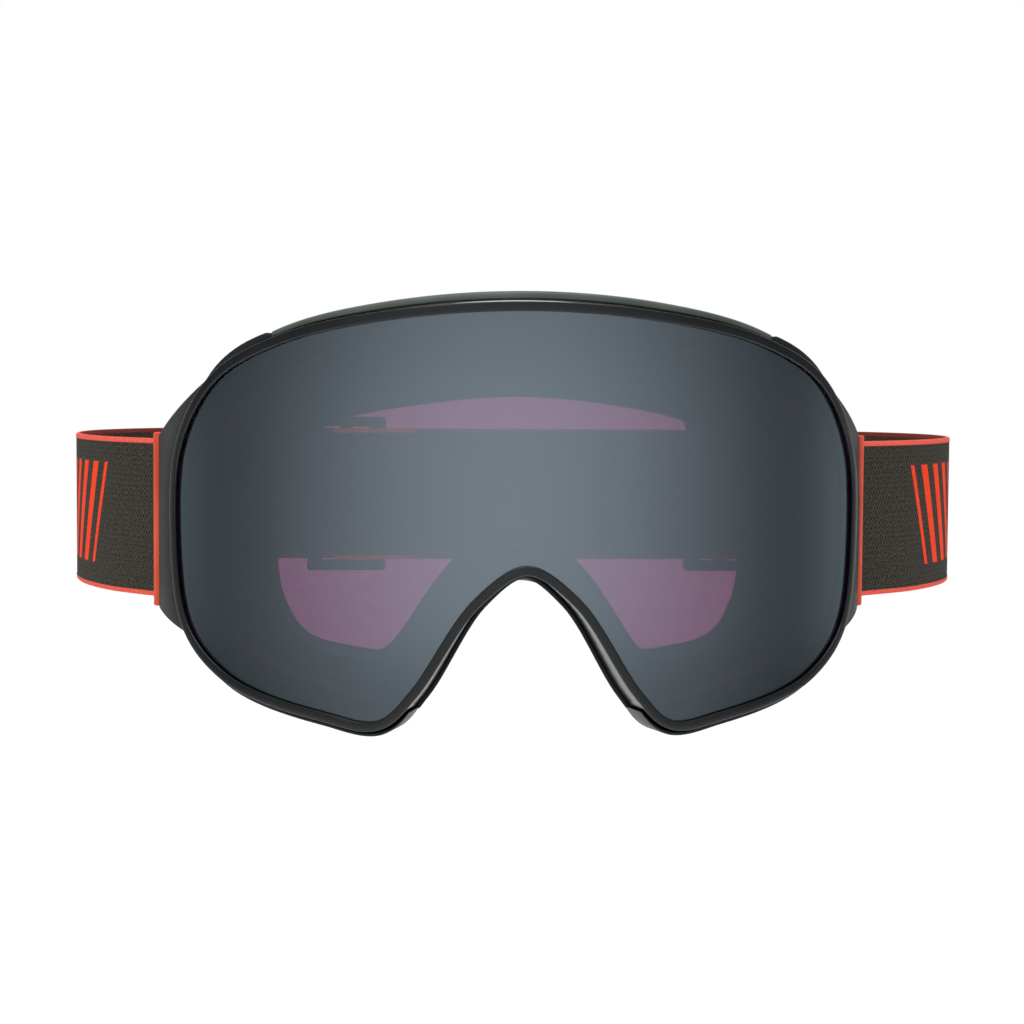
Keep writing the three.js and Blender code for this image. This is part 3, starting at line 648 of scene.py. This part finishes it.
def lens_plate(front, thickness):
    """The unrolled outline as one face, cut into upright strips, thickened and rolled up."""
    bm = bmesh.new()
    outline = [lens_edge.at(t, LENS_INSET - LENS_EASE) for t in ROUND]
    rim = [bm.verts.new((x, front, z)) for x, z in outline]
    edges = [bm.edges.new((rim[i], rim[(i + 1) % len(rim)])) for i in range(len(rim))]
    bmesh.ops.contextual_create(bm, geom=edges)
    reach = max(v.co.x for v in rim)
    strips = int(reach / LENS_COLUMN)
    for i in range(-strips, strips + 1):
        everything = bm.verts[:] + bm.edges[:] + bm.faces[:]
        x = i * reach / (strips + 0.5)
        bmesh.ops.bisect_plane(bm, geom=everything, plane_co=(x, 0, 0), plane_no=(1, 0, 0))
    back = bmesh.ops.extrude_face_region(bm, geom=bm.faces[:])["geom"]
    moved = [v for v in back if isinstance(v, bmesh.types.BMVert)]
    bmesh.ops.translate(bm, vec=(0, thickness, 0), verts=moved)
    for v in bm.verts:
        v.co = rolled(v.co.x, v.co.z, v.co.y)
    return bm


def lens_ring(profile, radius, steps=3):
    """A ring with one section, given as places outwards of the lens's edge and behind its surface."""
    bm = bmesh.new()
    corners = rounded([Vector((out, depth, 0)) for out, depth in profile], radius, steps)
    sweep(bm, [[lens_point(t, c.x, c.y) for c in corners] for t in ROUND], True)
    return bm


magnet_places = [lens_edge.reaching(arc(x), True) for x in MAGNETS_TOP_X]
magnet_places += [lens_edge.reaching(arc(x), False) for x in MAGNETS_BOTTOM_X]
magnet_places = [t for place in magnet_places for t in (place, 1 - place)]


def magnet(t, front):
    """A small disc, square to the lens's surface, with its edges eased."""
    bm = bmesh.new()
    bmesh.ops.create_cone(bm, cap_ends=True, segments=40, radius1=MAGNET_RADIUS, radius2=MAGNET_RADIUS,
                          depth=MAGNET_THICKNESS)
    rims = [e for e in bm.edges if len({round(v.co.z, 4) for v in e.verts}) == 1]
    bmesh.ops.bevel(bm, geom=rims, offset=MAGNET_EDGE, segments=3, profile=0.5, affect="EDGES", material=-1)
    x, z = lens_edge.at(t, -MAGNET_INSET)
    turn = Matrix.Rotation(x / LENS_RADIUS, 4, "Z") @ Matrix.Rotation(math.pi / 2, 4, "X")
    bmesh.ops.transform(bm, matrix=turn, verts=bm.verts)
    bmesh.ops.translate(bm, vec=rolled(x, z, front + MAGNET_THICKNESS / 2), verts=bm.verts)
    return bm


RIM_PROFILE = [
    (0, -RIM_LIP - CLEARANCE), (RIM_WIDTH, -RIM_LIP - CLEARANCE), (RIM_WIDTH, RIM_BACK),
    (-RIM_FLANGE_REACH, RIM_BACK), (-RIM_FLANGE_REACH, FLANGE_FRONT),
    (RIM_WIDTH - RIM_WALL, FLANGE_FRONT), (RIM_WIDTH - RIM_WALL, -CLEARANCE), (0, -CLEARANCE),
]
GASKET_INNER = LENS_INSET - GASKET_WIDTH
GASKET_PROFILE = [
    (GASKET_INNER, GASKET_FRONT), (LENS_INSET, GASKET_FRONT),
    (LENS_INSET, GASKET_FRONT + GASKET_THICKNESS), (GASKET_INNER, GASKET_FRONT + GASKET_THICKNESS),
]

piece("lens_outer_shell", lens_plate(0, LENS_THICKNESS), mirror_finish,
      "lens_unit", ["outer_lens"])
piece("lens_inner_shell", lens_plate(INNER_LENS_FRONT, INNER_LENS_THICKNESS), clear_finish,
      "lens_unit", ["inner_lens"])
piece("lens_spacer_foam", lens_ring(GASKET_PROFILE, radius=0.5), gasket_finish,
      "lens_unit", ["lens_gasket"])
piece("lens_rim", lens_ring(RIM_PROFILE, radius=0.38, steps=4), rim_finish,
      "lens_unit", ["lens_frame"], sharp=50)
for i, t in enumerate(magnet_places, 1):
    piece(f"lens_disc_{i}", magnet(t, RIM_BACK - MAGNET_THICKNESS), magnet_finish,
          "lens_unit", [f"lens_magnet_{i}"])
    piece(f"frame_disc_{i}", magnet(t, BODY_FRONT), magnet_finish,
          "frame", [f"frame_magnet_{i}"])


# ------------------------------------------------------------------ frame

brow_end = lens_edge.reaching(arc(BROW_HALF_WIDTH), True)
collar_start = lens_edge.reaching(arc(BROW_HALF_WIDTH + BROW_NOTCH), True)
shoulder_end = lens_edge.reaching(arc(SHOULDER_END * LENS_HALF_WIDTH), True)
collar_end = NOSE_LIP_END - COLLAR_STOP / STATIONS
wing_top = lens_edge.reaching(arc(WING_TOP * LENS_HALF_WIDTH), True)
wing_bottom = lens_edge.reaching(arc(WING_BOTTOM * LENS_HALF_WIDTH), False)


def collar_outer(t):
    """The collar's outer offset: widest at the shoulders, thinnest beside the nose."""
    share = min(max((t - collar_start) / (shoulder_end - collar_start), 0), 1)
    swell = math.sin(math.pi * (COLLAR_SWELL + (1 - COLLAR_SWELL) * share)) if share < 1 else 0
    width = COLLAR_THIN + (1 - COLLAR_THIN) * min(1, (collar_end - t) / COLLAR_FADE)
    return COLLAR_INNER + COLLAR_WIDTH * width + (SHOULDER_WIDTH - COLLAR_WIDTH) * swell


def collar_section(t):
    back, foot, inner = COLLAR_FRONT + COLLAR_DEPTH, BODY_FRONT + COLLAR_LAP, RIM_WIDTH - BODY_WALL
    corners = [(COLLAR_INNER, foot), (COLLAR_INNER, COLLAR_FRONT), (collar_outer(t), COLLAR_FRONT),
               (collar_outer(t), back), (inner, back), (inner, foot)]
    return rounded([lens_point(t, out, depth) for out, depth in corners], radius=0.4)


def body_section(t):
    """The frame's wall between its two flanges; the vents are cut between its corners."""
    outer_shares = (WALL_END, *VENT_SHARES, 1 - WALL_END)
    inner_shares = (1 - FLANGE_SHARE, *reversed(VENT_SHARES), FLANGE_SHARE)
    outer = [shell_point(t, share, 0) for share in outer_shares]
    inner = [shell_point(t, share, BODY_WALL) for share in inner_shares]
    flange_back = BODY_FRONT + BODY_FLANGE
    front = [lens_point(t, -RIM_FLANGE_REACH, flange_back), lens_point(t, -RIM_FLANGE_REACH, BODY_FRONT)]
    rear = [face_point(opening_edge, t, OPENING_STEP, BODY_REAR_GAP),
            face_point(opening_edge, t, OPENING_STEP, BODY_REAR_GAP + BODY_FLANGE)]
    return [shell_point(t, 0, 0), *outer, shell_point(t, 1, 0), *rear, *inner, *front]


def cut_vents(bm, sections, start, end, count):
    """Takes out faces of the outer wall and of the inner one, a little further forward, and joins them."""
    pitch = (end - start) / count
    for vent in range(count):
        low = start + pitch * (vent + VENT_RIB / 2)
        high = start + pitch * (vent + 1 - VENT_RIB / 2)
        rows = [round(low * RING_STEPS), round(high * RING_STEPS)]
        doomed = []
        for corner in VENT_FACES:
            for step in range(rows[0], rows[1]):
                a, b = sections[step % RING_STEPS], sections[(step + 1) % RING_STEPS]
                middle = (a[corner] + a[corner + 1] + b[corner] + b[corner + 1]) / 4
                doomed.append(min(bm.faces, key=lambda f: (f.calc_center_median() - middle).length_squared))
        around = {e for f in doomed for e in f.edges}
        rims = [e for e in around if sum(f in doomed for f in e.link_faces) == 1]
        bmesh.ops.delete(bm, geom=doomed, context="FACES")
        bmesh.ops.bridge_loops(bm, edges=[e for e in rims if e.is_valid])


def frame_body():
    bm = bmesh.new()
    sections = [body_section(t) for t in ROUND]
    sweep(bm, sections, True)
    for start, end, count in (TOP_VENTS, BOTTOM_VENTS, (1 - BOTTOM_VENTS[1], 1 - BOTTOM_VENTS[0], 3)):
        cut_vents(bm, sections, start, end, count)
    for side in (1, -1):
        places = spread(collar_start, collar_end, steps=90)
        collar = [[Vector((side * p.x, p.y, p.z)) for p in collar_section(t)] for t in places]
        sweep(bm, collar, False, soften=0.25)
    return bm


def brow_bar():
    """A capping bar over the brow: it thins towards its ends and its front edge slopes."""
    bm = bmesh.new()
    back = COLLAR_FRONT + BROW_DEPTH
    sections = []
    for t in spread(-brow_end, brow_end, steps=96):
        top = COLLAR_INNER + BROW_HEIGHT * (1 - BROW_TAPER * (t / brow_end) ** 2)
        corners = [(COLLAR_INNER, COLLAR_FRONT), (top - BROW_SLOPE[0], COLLAR_FRONT),
                   (top, COLLAR_FRONT + BROW_SLOPE[1]), (top, back), (COLLAR_INNER, back)]
        sections.append(rounded([lens_point(t, out, depth) for out, depth in corners], radius=0.45))
    sweep(bm, sections, False, soften=0.3)
    return bm


def shell_patch(start, end, shares, insets, radius):
    """A curved block that lies along the frame's wall."""
    bm = bmesh.new()
    places = [(shares[0], insets[0]), (shares[1], insets[0]), (shares[1], insets[1]), (shares[0], insets[1])]
    sections = []
    for t in spread(start, end, steps=60):
        sections.append(rounded([shell_point(t, *place) for place in places], radius))
    sweep(bm, sections, False, soften=radius * 0.6)
    return bm


def vent_foam(start, end, flip=False):
    inner = BODY_WALL + CLEARANCE
    shares = (VENT_SHARES[0] - VENT_FOAM_LAP, VENT_SHARES[1] + VENT_FOAM_LAP)
    bm = shell_patch(start, end, shares, (inner, inner + VENT_FOAM), radius=0.4)
    if flip:
        mirrored(bm)
    return bm


def foam_ring(near, far, radius, crown):
    """One layer of foam, with its outer and inner sides swelling a little between the glued faces."""
    bm = bmesh.new()
    middle = (near + far) / 2
    sections = []
    for t in ROUND:
        sections.append(rounded([
            face_point(face_edge, t, 0, near), face_point(face_edge, t, crown, middle),
            face_point(face_edge, t, 0, far), face_point(opening_edge, t, OPENING_STEP, far),
            face_point(opening_edge, t, OPENING_STEP - crown, middle),
            face_point(opening_edge, t, OPENING_STEP, near)], radius))
    sweep(bm, sections, True)
    return bm


def bowed(start, end):
    """A line from the collar to the wing's rear edge that swells in its middle."""
    return [start.lerp(end, w) + Vector(WING_BULGE) * (4 * w * (1 - w)) for w in spread(0, 1, steps=8)]


def wing(flip):
    """A side panel that widens out of the collar and ends square at the strap's anchor."""
    bm = bmesh.new()
    sections = []
    for share in spread(0, 1, steps=48):
        t = wing_top + (wing_bottom - wing_top) * share
        out = collar_outer(t) + COLLAR_FIT
        z = WING_REAR_HEIGHT * (0.5 - share) - WING_DROP
        front, back = (lens_point(t, out, depth) for depth in WING_DEPTHS)
        rear = Vector((WING_REAR_X, WING_REAR_Y, z))
        inner_rear = Vector((WING_REAR_X - WING_THICKNESS, WING_REAR_Y, z))
        sections.append(rounded(bowed(front, rear) + bowed(back, inner_rear)[::-1], radius=0.5))
    sweep(bm, sections, False, soften=0.35)
    if flip:
        mirrored(bm)
    return bm


piece("frame_shell", frame_body(), frame_finish, "frame", ["frame_body"])
piece("brow_trim", brow_bar(), trim_finish, "frame", ["brow_bar"])
nose_inset = (-CLEARANCE - NOSE_LIP_THICKNESS, -CLEARANCE)
nose_flange = shell_patch(NOSE_LIP_END, 1 - NOSE_LIP_END, NOSE_LIP_SHARES, nose_inset, radius=0.45)
piece("nose_flange", nose_flange, nose_finish, "frame", ["nose_lip"])
piece("brow_vent_foam", vent_foam(*TOP_VENTS[:2]), vent_finish, "frame", ["top_vent_foam"])
middle_near = FLEECE + CLEARANCE
middle_far = middle_near + FOAM_MIDDLE
foam_layers = [
    ("foam_layer_base", "face_foam_base", middle_far + CLEARANCE, FOAM_DEPTH, foam_finish, "face_foam"),
    ("foam_layer_middle", "face_foam_middle", middle_near, middle_far, foam_finish, "face_foam"),
    ("fleece_layer", "face_foam_fleece", 0, FLEECE, fleece_finish, "fleece"),
]
for name, node, near, far, material, slot in foam_layers:
    ring = foam_ring(near, far, radius=1.1, crown=0.45)
    layer = piece(name, ring, material, "frame", [node], sharp=70)


def anchor(flip):
    """The moulded end that the webbing is sewn to: a slim upright block with a sloping front edge."""
    bm = bmesh.new()
    outer, front = WING_REAR_X + ANCHOR_PROUD, ANCHOR_FRONT_Y
    inner, back = outer - ANCHOR_WIDTH, front + ANCHOR_DEPTH
    reach = STRAP_HEIGHT / 2 + ANCHOR_LAP
    corners = [(inner, front), (outer - ANCHOR_SLOPE[0], front), (outer, front + ANCHOR_SLOPE[1]),
               (outer, back), (inner, back)]
    sections = []
    for z in spread(-reach, reach, steps=12):
        sections.append(rounded([Vector((x, y, z)) for x, y in corners], radius=0.5))
    sweep(bm, sections, False, soften=0.45)
    if flip:
        mirrored(bm)
    return bm


for side, flip in (("right", False), ("left", True)):
    piece(f"side_wing_{side}", wing(flip), wing_finish, "frame", [f"wing_{side}"])
    piece(f"vent_foam_lower_{side}", vent_foam(*BOTTOM_VENTS[:2], flip), vent_finish, "frame",
          [f"bottom_vent_foam_{side}"])
    piece(f"strap_end_{side}", anchor(flip), anchor_finish, "frame",
          [f"strap_anchor_{side}"])


# ------------------------------------------------------------------ strap

CURVE_STEPS = 24  # steps between two points, before they are spread evenly


def open_curve(points, steps):
    """Evenly spaced places on a smooth open curve, each with its direction and length so far."""
    padded = [2 * points[0] - points[1], *points, 2 * points[-1] - points[-2]]
    fine = []
    for i in range(1, len(padded) - 2):
        fine += [curve_point(padded[i - 1:i + 3], w) for w in spread(0, 1, CURVE_STEPS)[:-1]]
    fine.append(padded[-2])
    lengths = [0]
    for a, b in zip(fine, fine[1:]):
        lengths.append(lengths[-1] + (b - a).length)
    path, j = [], 0
    for target in spread(0, lengths[-1], steps):
        while j < len(fine) - 2 and lengths[j + 1] < target:
            j += 1
        w = (target - lengths[j]) / (lengths[j + 1] - lengths[j])
        path.append((fine[j].lerp(fine[j + 1], w), (fine[j + 1] - fine[j]).normalized(), target))
    return path


def side_points(rear_y, flip):
    """The plan line of one side of the strap, from its anchor round to the straight rear stretch."""
    bulge = STRAP_BULGE_LEFT if flip else STRAP_BULGE_RIGHT
    reach = STRAP_REAR_Y - STRAP_START_Y
    bends = []
    for out, back in STRAP_PLAN:
        bends.append(Vector((STRAP_START_X + bulge * out, STRAP_START_Y + reach * back, 0)))
    leaving = bends[0] + Vector((0, STRAP_LEAD, 0))
    return [bends[0], leaving, *bends[1:], Vector((STRAP_STRAIGHT - STRAP_EASE, rear_y, 0))]


def loop_points(bar_x, rear_y, side):
    """From the straight stretch, round the slider's middle bar and back along the sewn flap."""
    return [Vector((bar_x + x, rear_y + side * lift, 0)) for x, lift in LOOP_PLAN]


def webbing_section(place, along):
    """An upright flat section with eased corners and slightly fuller bound edges, outer face first."""
    low, high = -STRAP_HEIGHT / 2, STRAP_HEIGHT / 2
    out = Vector((along.y, -along.x, 0)) * (STRAP_THICKNESS / 2)
    heights = [(low, 0.55), (low + 0.3, 0.95), (low + EDGE_BINDING, 1), (low + EDGE_BINDING + 0.25, 0.88),
               (high - EDGE_BINDING - 0.25, 0.88), (high - EDGE_BINDING, 1), (high - 0.3, 0.95), (high, 0.55)]
    up = [place + out * share + Vector((0, 0, z)) for z, share in heights]
    down = [place - out * share + Vector((0, 0, z)) for z, share in reversed(heights)]
    return up + down


def strap(bar_x, rear_y, side, flip):
    """One webbing, made along +X, its flap towards the head (side -1) or away from it (side 1)."""
    bm = bmesh.new()
    bends = side_points(rear_y, flip)
    straight = [Vector((x, rear_y, 0)) for x in spread(STRAP_STRAIGHT - 14, bar_x + FLAP + 1, steps=6)]
    path = open_curve([*bends, *straight, *loop_points(bar_x, rear_y, side)], steps=420)
    sections = [webbing_section(place, along) for place, along, _ in path]
    points = len(sections[0]) // 2
    sweep(bm, sections, False, along=[length for *_, length in path], facing=[1] * points + [0] * points)
    if flip:
        mirrored(bm)
    return bm


right_webbing = strap(SLIDER_LEFT_X, INNER_LAYER_Y, -1, flip=False)
right_strap = piece("webbing_right", right_webbing, webbing_finish,
                    None, ["strap_right_side", "strap_right_tail"], sharp=60)
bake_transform(right_strap)
left_webbing = strap(-SLIDER_RIGHT_X, OUTER_LAYER_Y, 1, flip=True)
left_strap = piece("webbing_left", left_webbing, webbing_finish,
                   None, ["strap_left_side", "strap_left_tail"], sharp=60)
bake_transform(left_strap)


def stitch(bm, start, end):
    """One raised thread, from hole to hole."""
    made = bmesh.ops.create_icosphere(bm, subdivisions=1, radius=0.5)["verts"]
    run = end - start
    bmesh.ops.scale(bm, vec=(THREAD, THREAD, run.length), verts=made)
    bmesh.ops.rotate(bm, cent=(0, 0, 0), matrix=run.to_track_quat("Z", "Y").to_matrix(), verts=made)
    bmesh.ops.translate(bm, vec=(start + end) / 2, verts=made)


def anchor_stitches(rear_y, flip):
    """Two upright rows of thread through the webbing, close behind its anchor, on its outer face."""
    bm = bmesh.new()
    path = open_curve(side_points(rear_y, flip), steps=240)
    for distance in STITCH_ROWS:
        place, along, _ = min(path, key=lambda p: abs(p[2] - distance))
        out = Vector((along.y, -along.x, 0)) * (STRAP_THICKNESS / 2 + THREAD_LIFT)
        for i in range(STITCH_COUNT):
            z = (i - (STITCH_COUNT - 1) / 2) * STITCH_PITCH
            low, high = z - STITCH_LENGTH / 2, z + STITCH_LENGTH / 2
            stitch(bm, place + out + Vector((0, 0, low)), place + out + Vector((0, 0, high)))
    if flip:
        mirrored(bm)
    return bm


def flap_stitches(bar_x, rear_y, side, flip):
    """A sewn box with a cross on the flap's outer face."""
    bm = bmesh.new()
    y = rear_y + side * (FLAP_LIFT + STRAP_THICKNESS / 2 + THREAD_LIFT)
    low, high = bar_x + FLAP_SEAM_START, bar_x + FLAP - FLAP_SEAM_END
    corners = [Vector((low, y, -FLAP_SEAM_REACH)), Vector((high, y, -FLAP_SEAM_REACH)),
               Vector((high, y, FLAP_SEAM_REACH)), Vector((low, y, FLAP_SEAM_REACH))]
    box = list(zip(corners, corners[1:] + corners[:1]))
    cross = [(corners[0], corners[2]), (corners[1], corners[3])]
    for start, end in box + cross:
        count = max(2, round((end - start).length / STITCH_PITCH))
        for i in range(count):
            first, last = (i + STITCH_GAP) / count, (i + (1 - STITCH_GAP)) / count
            stitch(bm, start.lerp(end, first), start.lerp(end, last))
    if flip:
        mirrored(bm)
    return bm


def grip_line(rear_y, z, flip):
    """A silicone bead printed on the webbing's inner face."""
    bm = bmesh.new()
    path = open_curve(side_points(rear_y, flip), steps=120)
    inwards = STRAP_THICKNESS / 2 + GRIP_LIFT + GRIP_THICKNESS / 2
    sections = []
    for place, along, _ in path[slice(*GRIP_STEPS)]:
        out = Vector((along.y, -along.x, 0))
        centre = place - out * inwards
        corners = [centre + out * (GRIP_THICKNESS / 2) * a + Vector((0, 0, z + GRIP_WIDTH / 2 * b))
                   for a, b in ((1, -1), (1, 1), (-1, 0.7), (-1, -0.7))]
        sections.append(rounded(corners, radius=0.35))
    sweep(bm, sections, False, soften=0.1)
    if flip:
        mirrored(bm)
    return bm


right_flap = flap_stitches(SLIDER_LEFT_X, INNER_LAYER_Y, -1, flip=False)
left_flap = flap_stitches(-SLIDER_RIGHT_X, OUTER_LAYER_Y, 1, flip=True)
piece("flap_thread_right", right_flap, thread_finish, "slider_left")
piece("flap_thread_left", left_flap, thread_finish, "slider_right")
for side, flip, rear_y in (("right", False, INNER_LAYER_Y), ("left", True, OUTER_LAYER_Y)):
    piece(f"anchor_thread_{side}", anchor_stitches(rear_y, flip), thread_finish, "frame")
    for level, z in (("upper", GRIP_OFFSET), ("lower", -GRIP_OFFSET)):
        piece(f"grip_bead_{side}_{level}", grip_line(rear_y, z, flip), silicone_finish,
              "frame", [f"strap_grip_{side}_{level}"])


def slider(x, through_y, end_y):
    """A ladder slider: rails above and below, two outer bars, and the thin bar inside the sewn loop."""
    bm = bmesh.new()
    away = 1 if through_y > end_y else -1
    bars = sorted(through_y + away * (STRAP_THICKNESS / 2 + CLEARANCE + d) for d in (0, SLIDER_THICKNESS))
    middle = sorted(end_y - away * d for d in MIDDLE_BAR_FACES)
    depth = (min(bars[0], middle[0]), max(bars[1], middle[1]))
    inner = STRAP_HEIGHT / 2 + 2 * CLEARANCE
    outer = inner + SLIDER_RAIL
    left, right = x - SLIDER_WIDTH / 2, x + SLIDER_WIDTH / 2
    for low, high in ((inner, outer), (-outer, -inner)):
        block(bm, (left, depth[0], low), (right, depth[1], high), radius=0.9, segments=4)
    for low in (left, right - SLIDER_BAR):
        block(bm, (low, bars[0], -outer + 0.8), (low + SLIDER_BAR, bars[1], outer - 0.8), radius=0.7)
    near, far = x - MIDDLE_BAR_HALF_WIDTH, x + MIDDLE_BAR_HALF_WIDTH
    block(bm, (near, middle[0], -outer + 1), (far, middle[1], outer - 1), radius=0.4)
    return bm


left_ladder = slider(SLIDER_LEFT_X, OUTER_LAYER_Y, INNER_LAYER_Y)
right_ladder = slider(SLIDER_RIGHT_X, INNER_LAYER_Y, OUTER_LAYER_Y)
piece("ladder_left", left_ladder, slider_finish, "slider_left", ["slider_left"])
piece("ladder_right", right_ladder, slider_finish, "slider_right", ["slider_right"])


# ------------------------------------------------------------------ camera and light

CAMERA_PLACE = (-0.0342, -0.549, 0.036)
CAMERA_AIM = (0.0611, 0.9963, -0.0607)
CAMERA_ROLL = math.radians(0.35)
CAMERA_LENS = 78.05
FLOOR_SIZE = 12
FLOOR_Z = -0.2
CARD_START = (0.8, 0.35)
CARD_FOOT = -0.198
CARD_HEAD = 1.3
CARD_TURN = math.radians(227)


def aim(thing, target):
    thing.rotation_euler = (Vector(target) - thing.location).to_track_quat("-Z", "Y").to_euler()


def make_camera():
    data = bpy.data.cameras.new("camera")
    data.sensor_width = 36
    data.lens = CAMERA_LENS
    camera = bpy.data.objects.new("camera", data)
    camera.location = CAMERA_PLACE
    bpy.context.collection.objects.link(camera)
    aim(camera, camera.location + Vector(CAMERA_AIM))
    camera.rotation_euler.rotate_axis("Z", CAMERA_ROLL)
    bpy.context.scene.camera = camera


def soft_light(name, place, target, size, watts):
    data = bpy.data.lights.new(name, "AREA")
    data.shape = "RECTANGLE"
    data.size, data.size_y = size
    data.energy = watts
    lamp = bpy.data.objects.new(name, data)
    lamp.location = place
    aim(lamp, target)
    bpy.context.collection.objects.link(lamp)


def white_room():
    world = bpy.data.worlds.new("white_room")
    bpy.context.scene.world = world
    world.use_nodes = True
    background = world.node_tree.nodes["Background"]
    background.inputs["Color"].default_value = (1, 1, 1, 1)
    background.inputs["Strength"].default_value = 1.0
    bpy.context.scene.view_settings.view_transform = "Standard"


def pale_floor():
    f = Finish("pale_floor")
    shade = f.mix(f.noise(60), (0.95, 0.95, 0.95, 1), (0.97, 0.97, 0.97, 1))
    finish = f.principled({
        "Base Color": shade,
        "Roughness": 0.9,
        "Emission Color": (1, 1, 1, 1),
        "Emission Strength": 0.05})
    bm = bmesh.new()
    bmesh.ops.create_grid(bm, x_segments=1, y_segments=1, size=FLOOR_SIZE)
    bmesh.ops.translate(bm, vec=(0, 0, FLOOR_Z), verts=bm.verts)
    floor = place_mesh("floor", bm, finish)


def curved_card():
    """A lit card that bends round the goggles, brightest in front of them; only reflections show it."""
    f = Finish("curved_card")
    x, y, height = f.axes()
    # Brightest behind the viewer, dimmest square to the sides, a little lighter past them.
    away = (x.math("ARCTAN2", y * -1) * (180 / math.pi) + 2).size()
    sideways = 1 - away.step(2, 88) * 0.76 + away.step(86, 114) * 0.2
    # It darkens towards the floor, and dims a little above the eye line.
    upwards = height.step(-0.2, -0.1) * 0.82 + 0.18
    glow = sideways * upwards * (1 - height.step(0.0, 0.09) * 0.3)
    shade = f.mix(glow, (0, 0, 0, 1), (1, 1, 1, 1))
    finish = f.surface(f.node("ShaderNodeEmission", None, {"Color": shade, "Strength": 1.0}))
    bm = bmesh.new()
    foot = bm.verts.new((*CARD_START, CARD_FOOT))
    head = bm.verts.new((*CARD_START, CARD_HEAD))
    edge = bm.edges.new((foot, head))
    bmesh.ops.spin(bm, geom=[foot, head, edge], cent=(0, 0, 0), axis=(0, 0, 1), angle=-CARD_TURN,
                   steps=90, use_duplicate=False)
    card = place_mesh("curved_card", bm, finish)
    card.visible_camera = card.visible_diffuse = card.visible_shadow = card.visible_transmission = False


make_camera()
white_room()
pale_floor()
curved_card()
soft_light("top_softbox", place=(0, -0.25, 0.9), target=(0, 0, 0), size=(0.7, 0.5), watts=4)
soft_light("front_softbox", place=(-0.5, -1.2, 0.8), target=(0, 0, 0), size=(0.6, 0.6), watts=5)
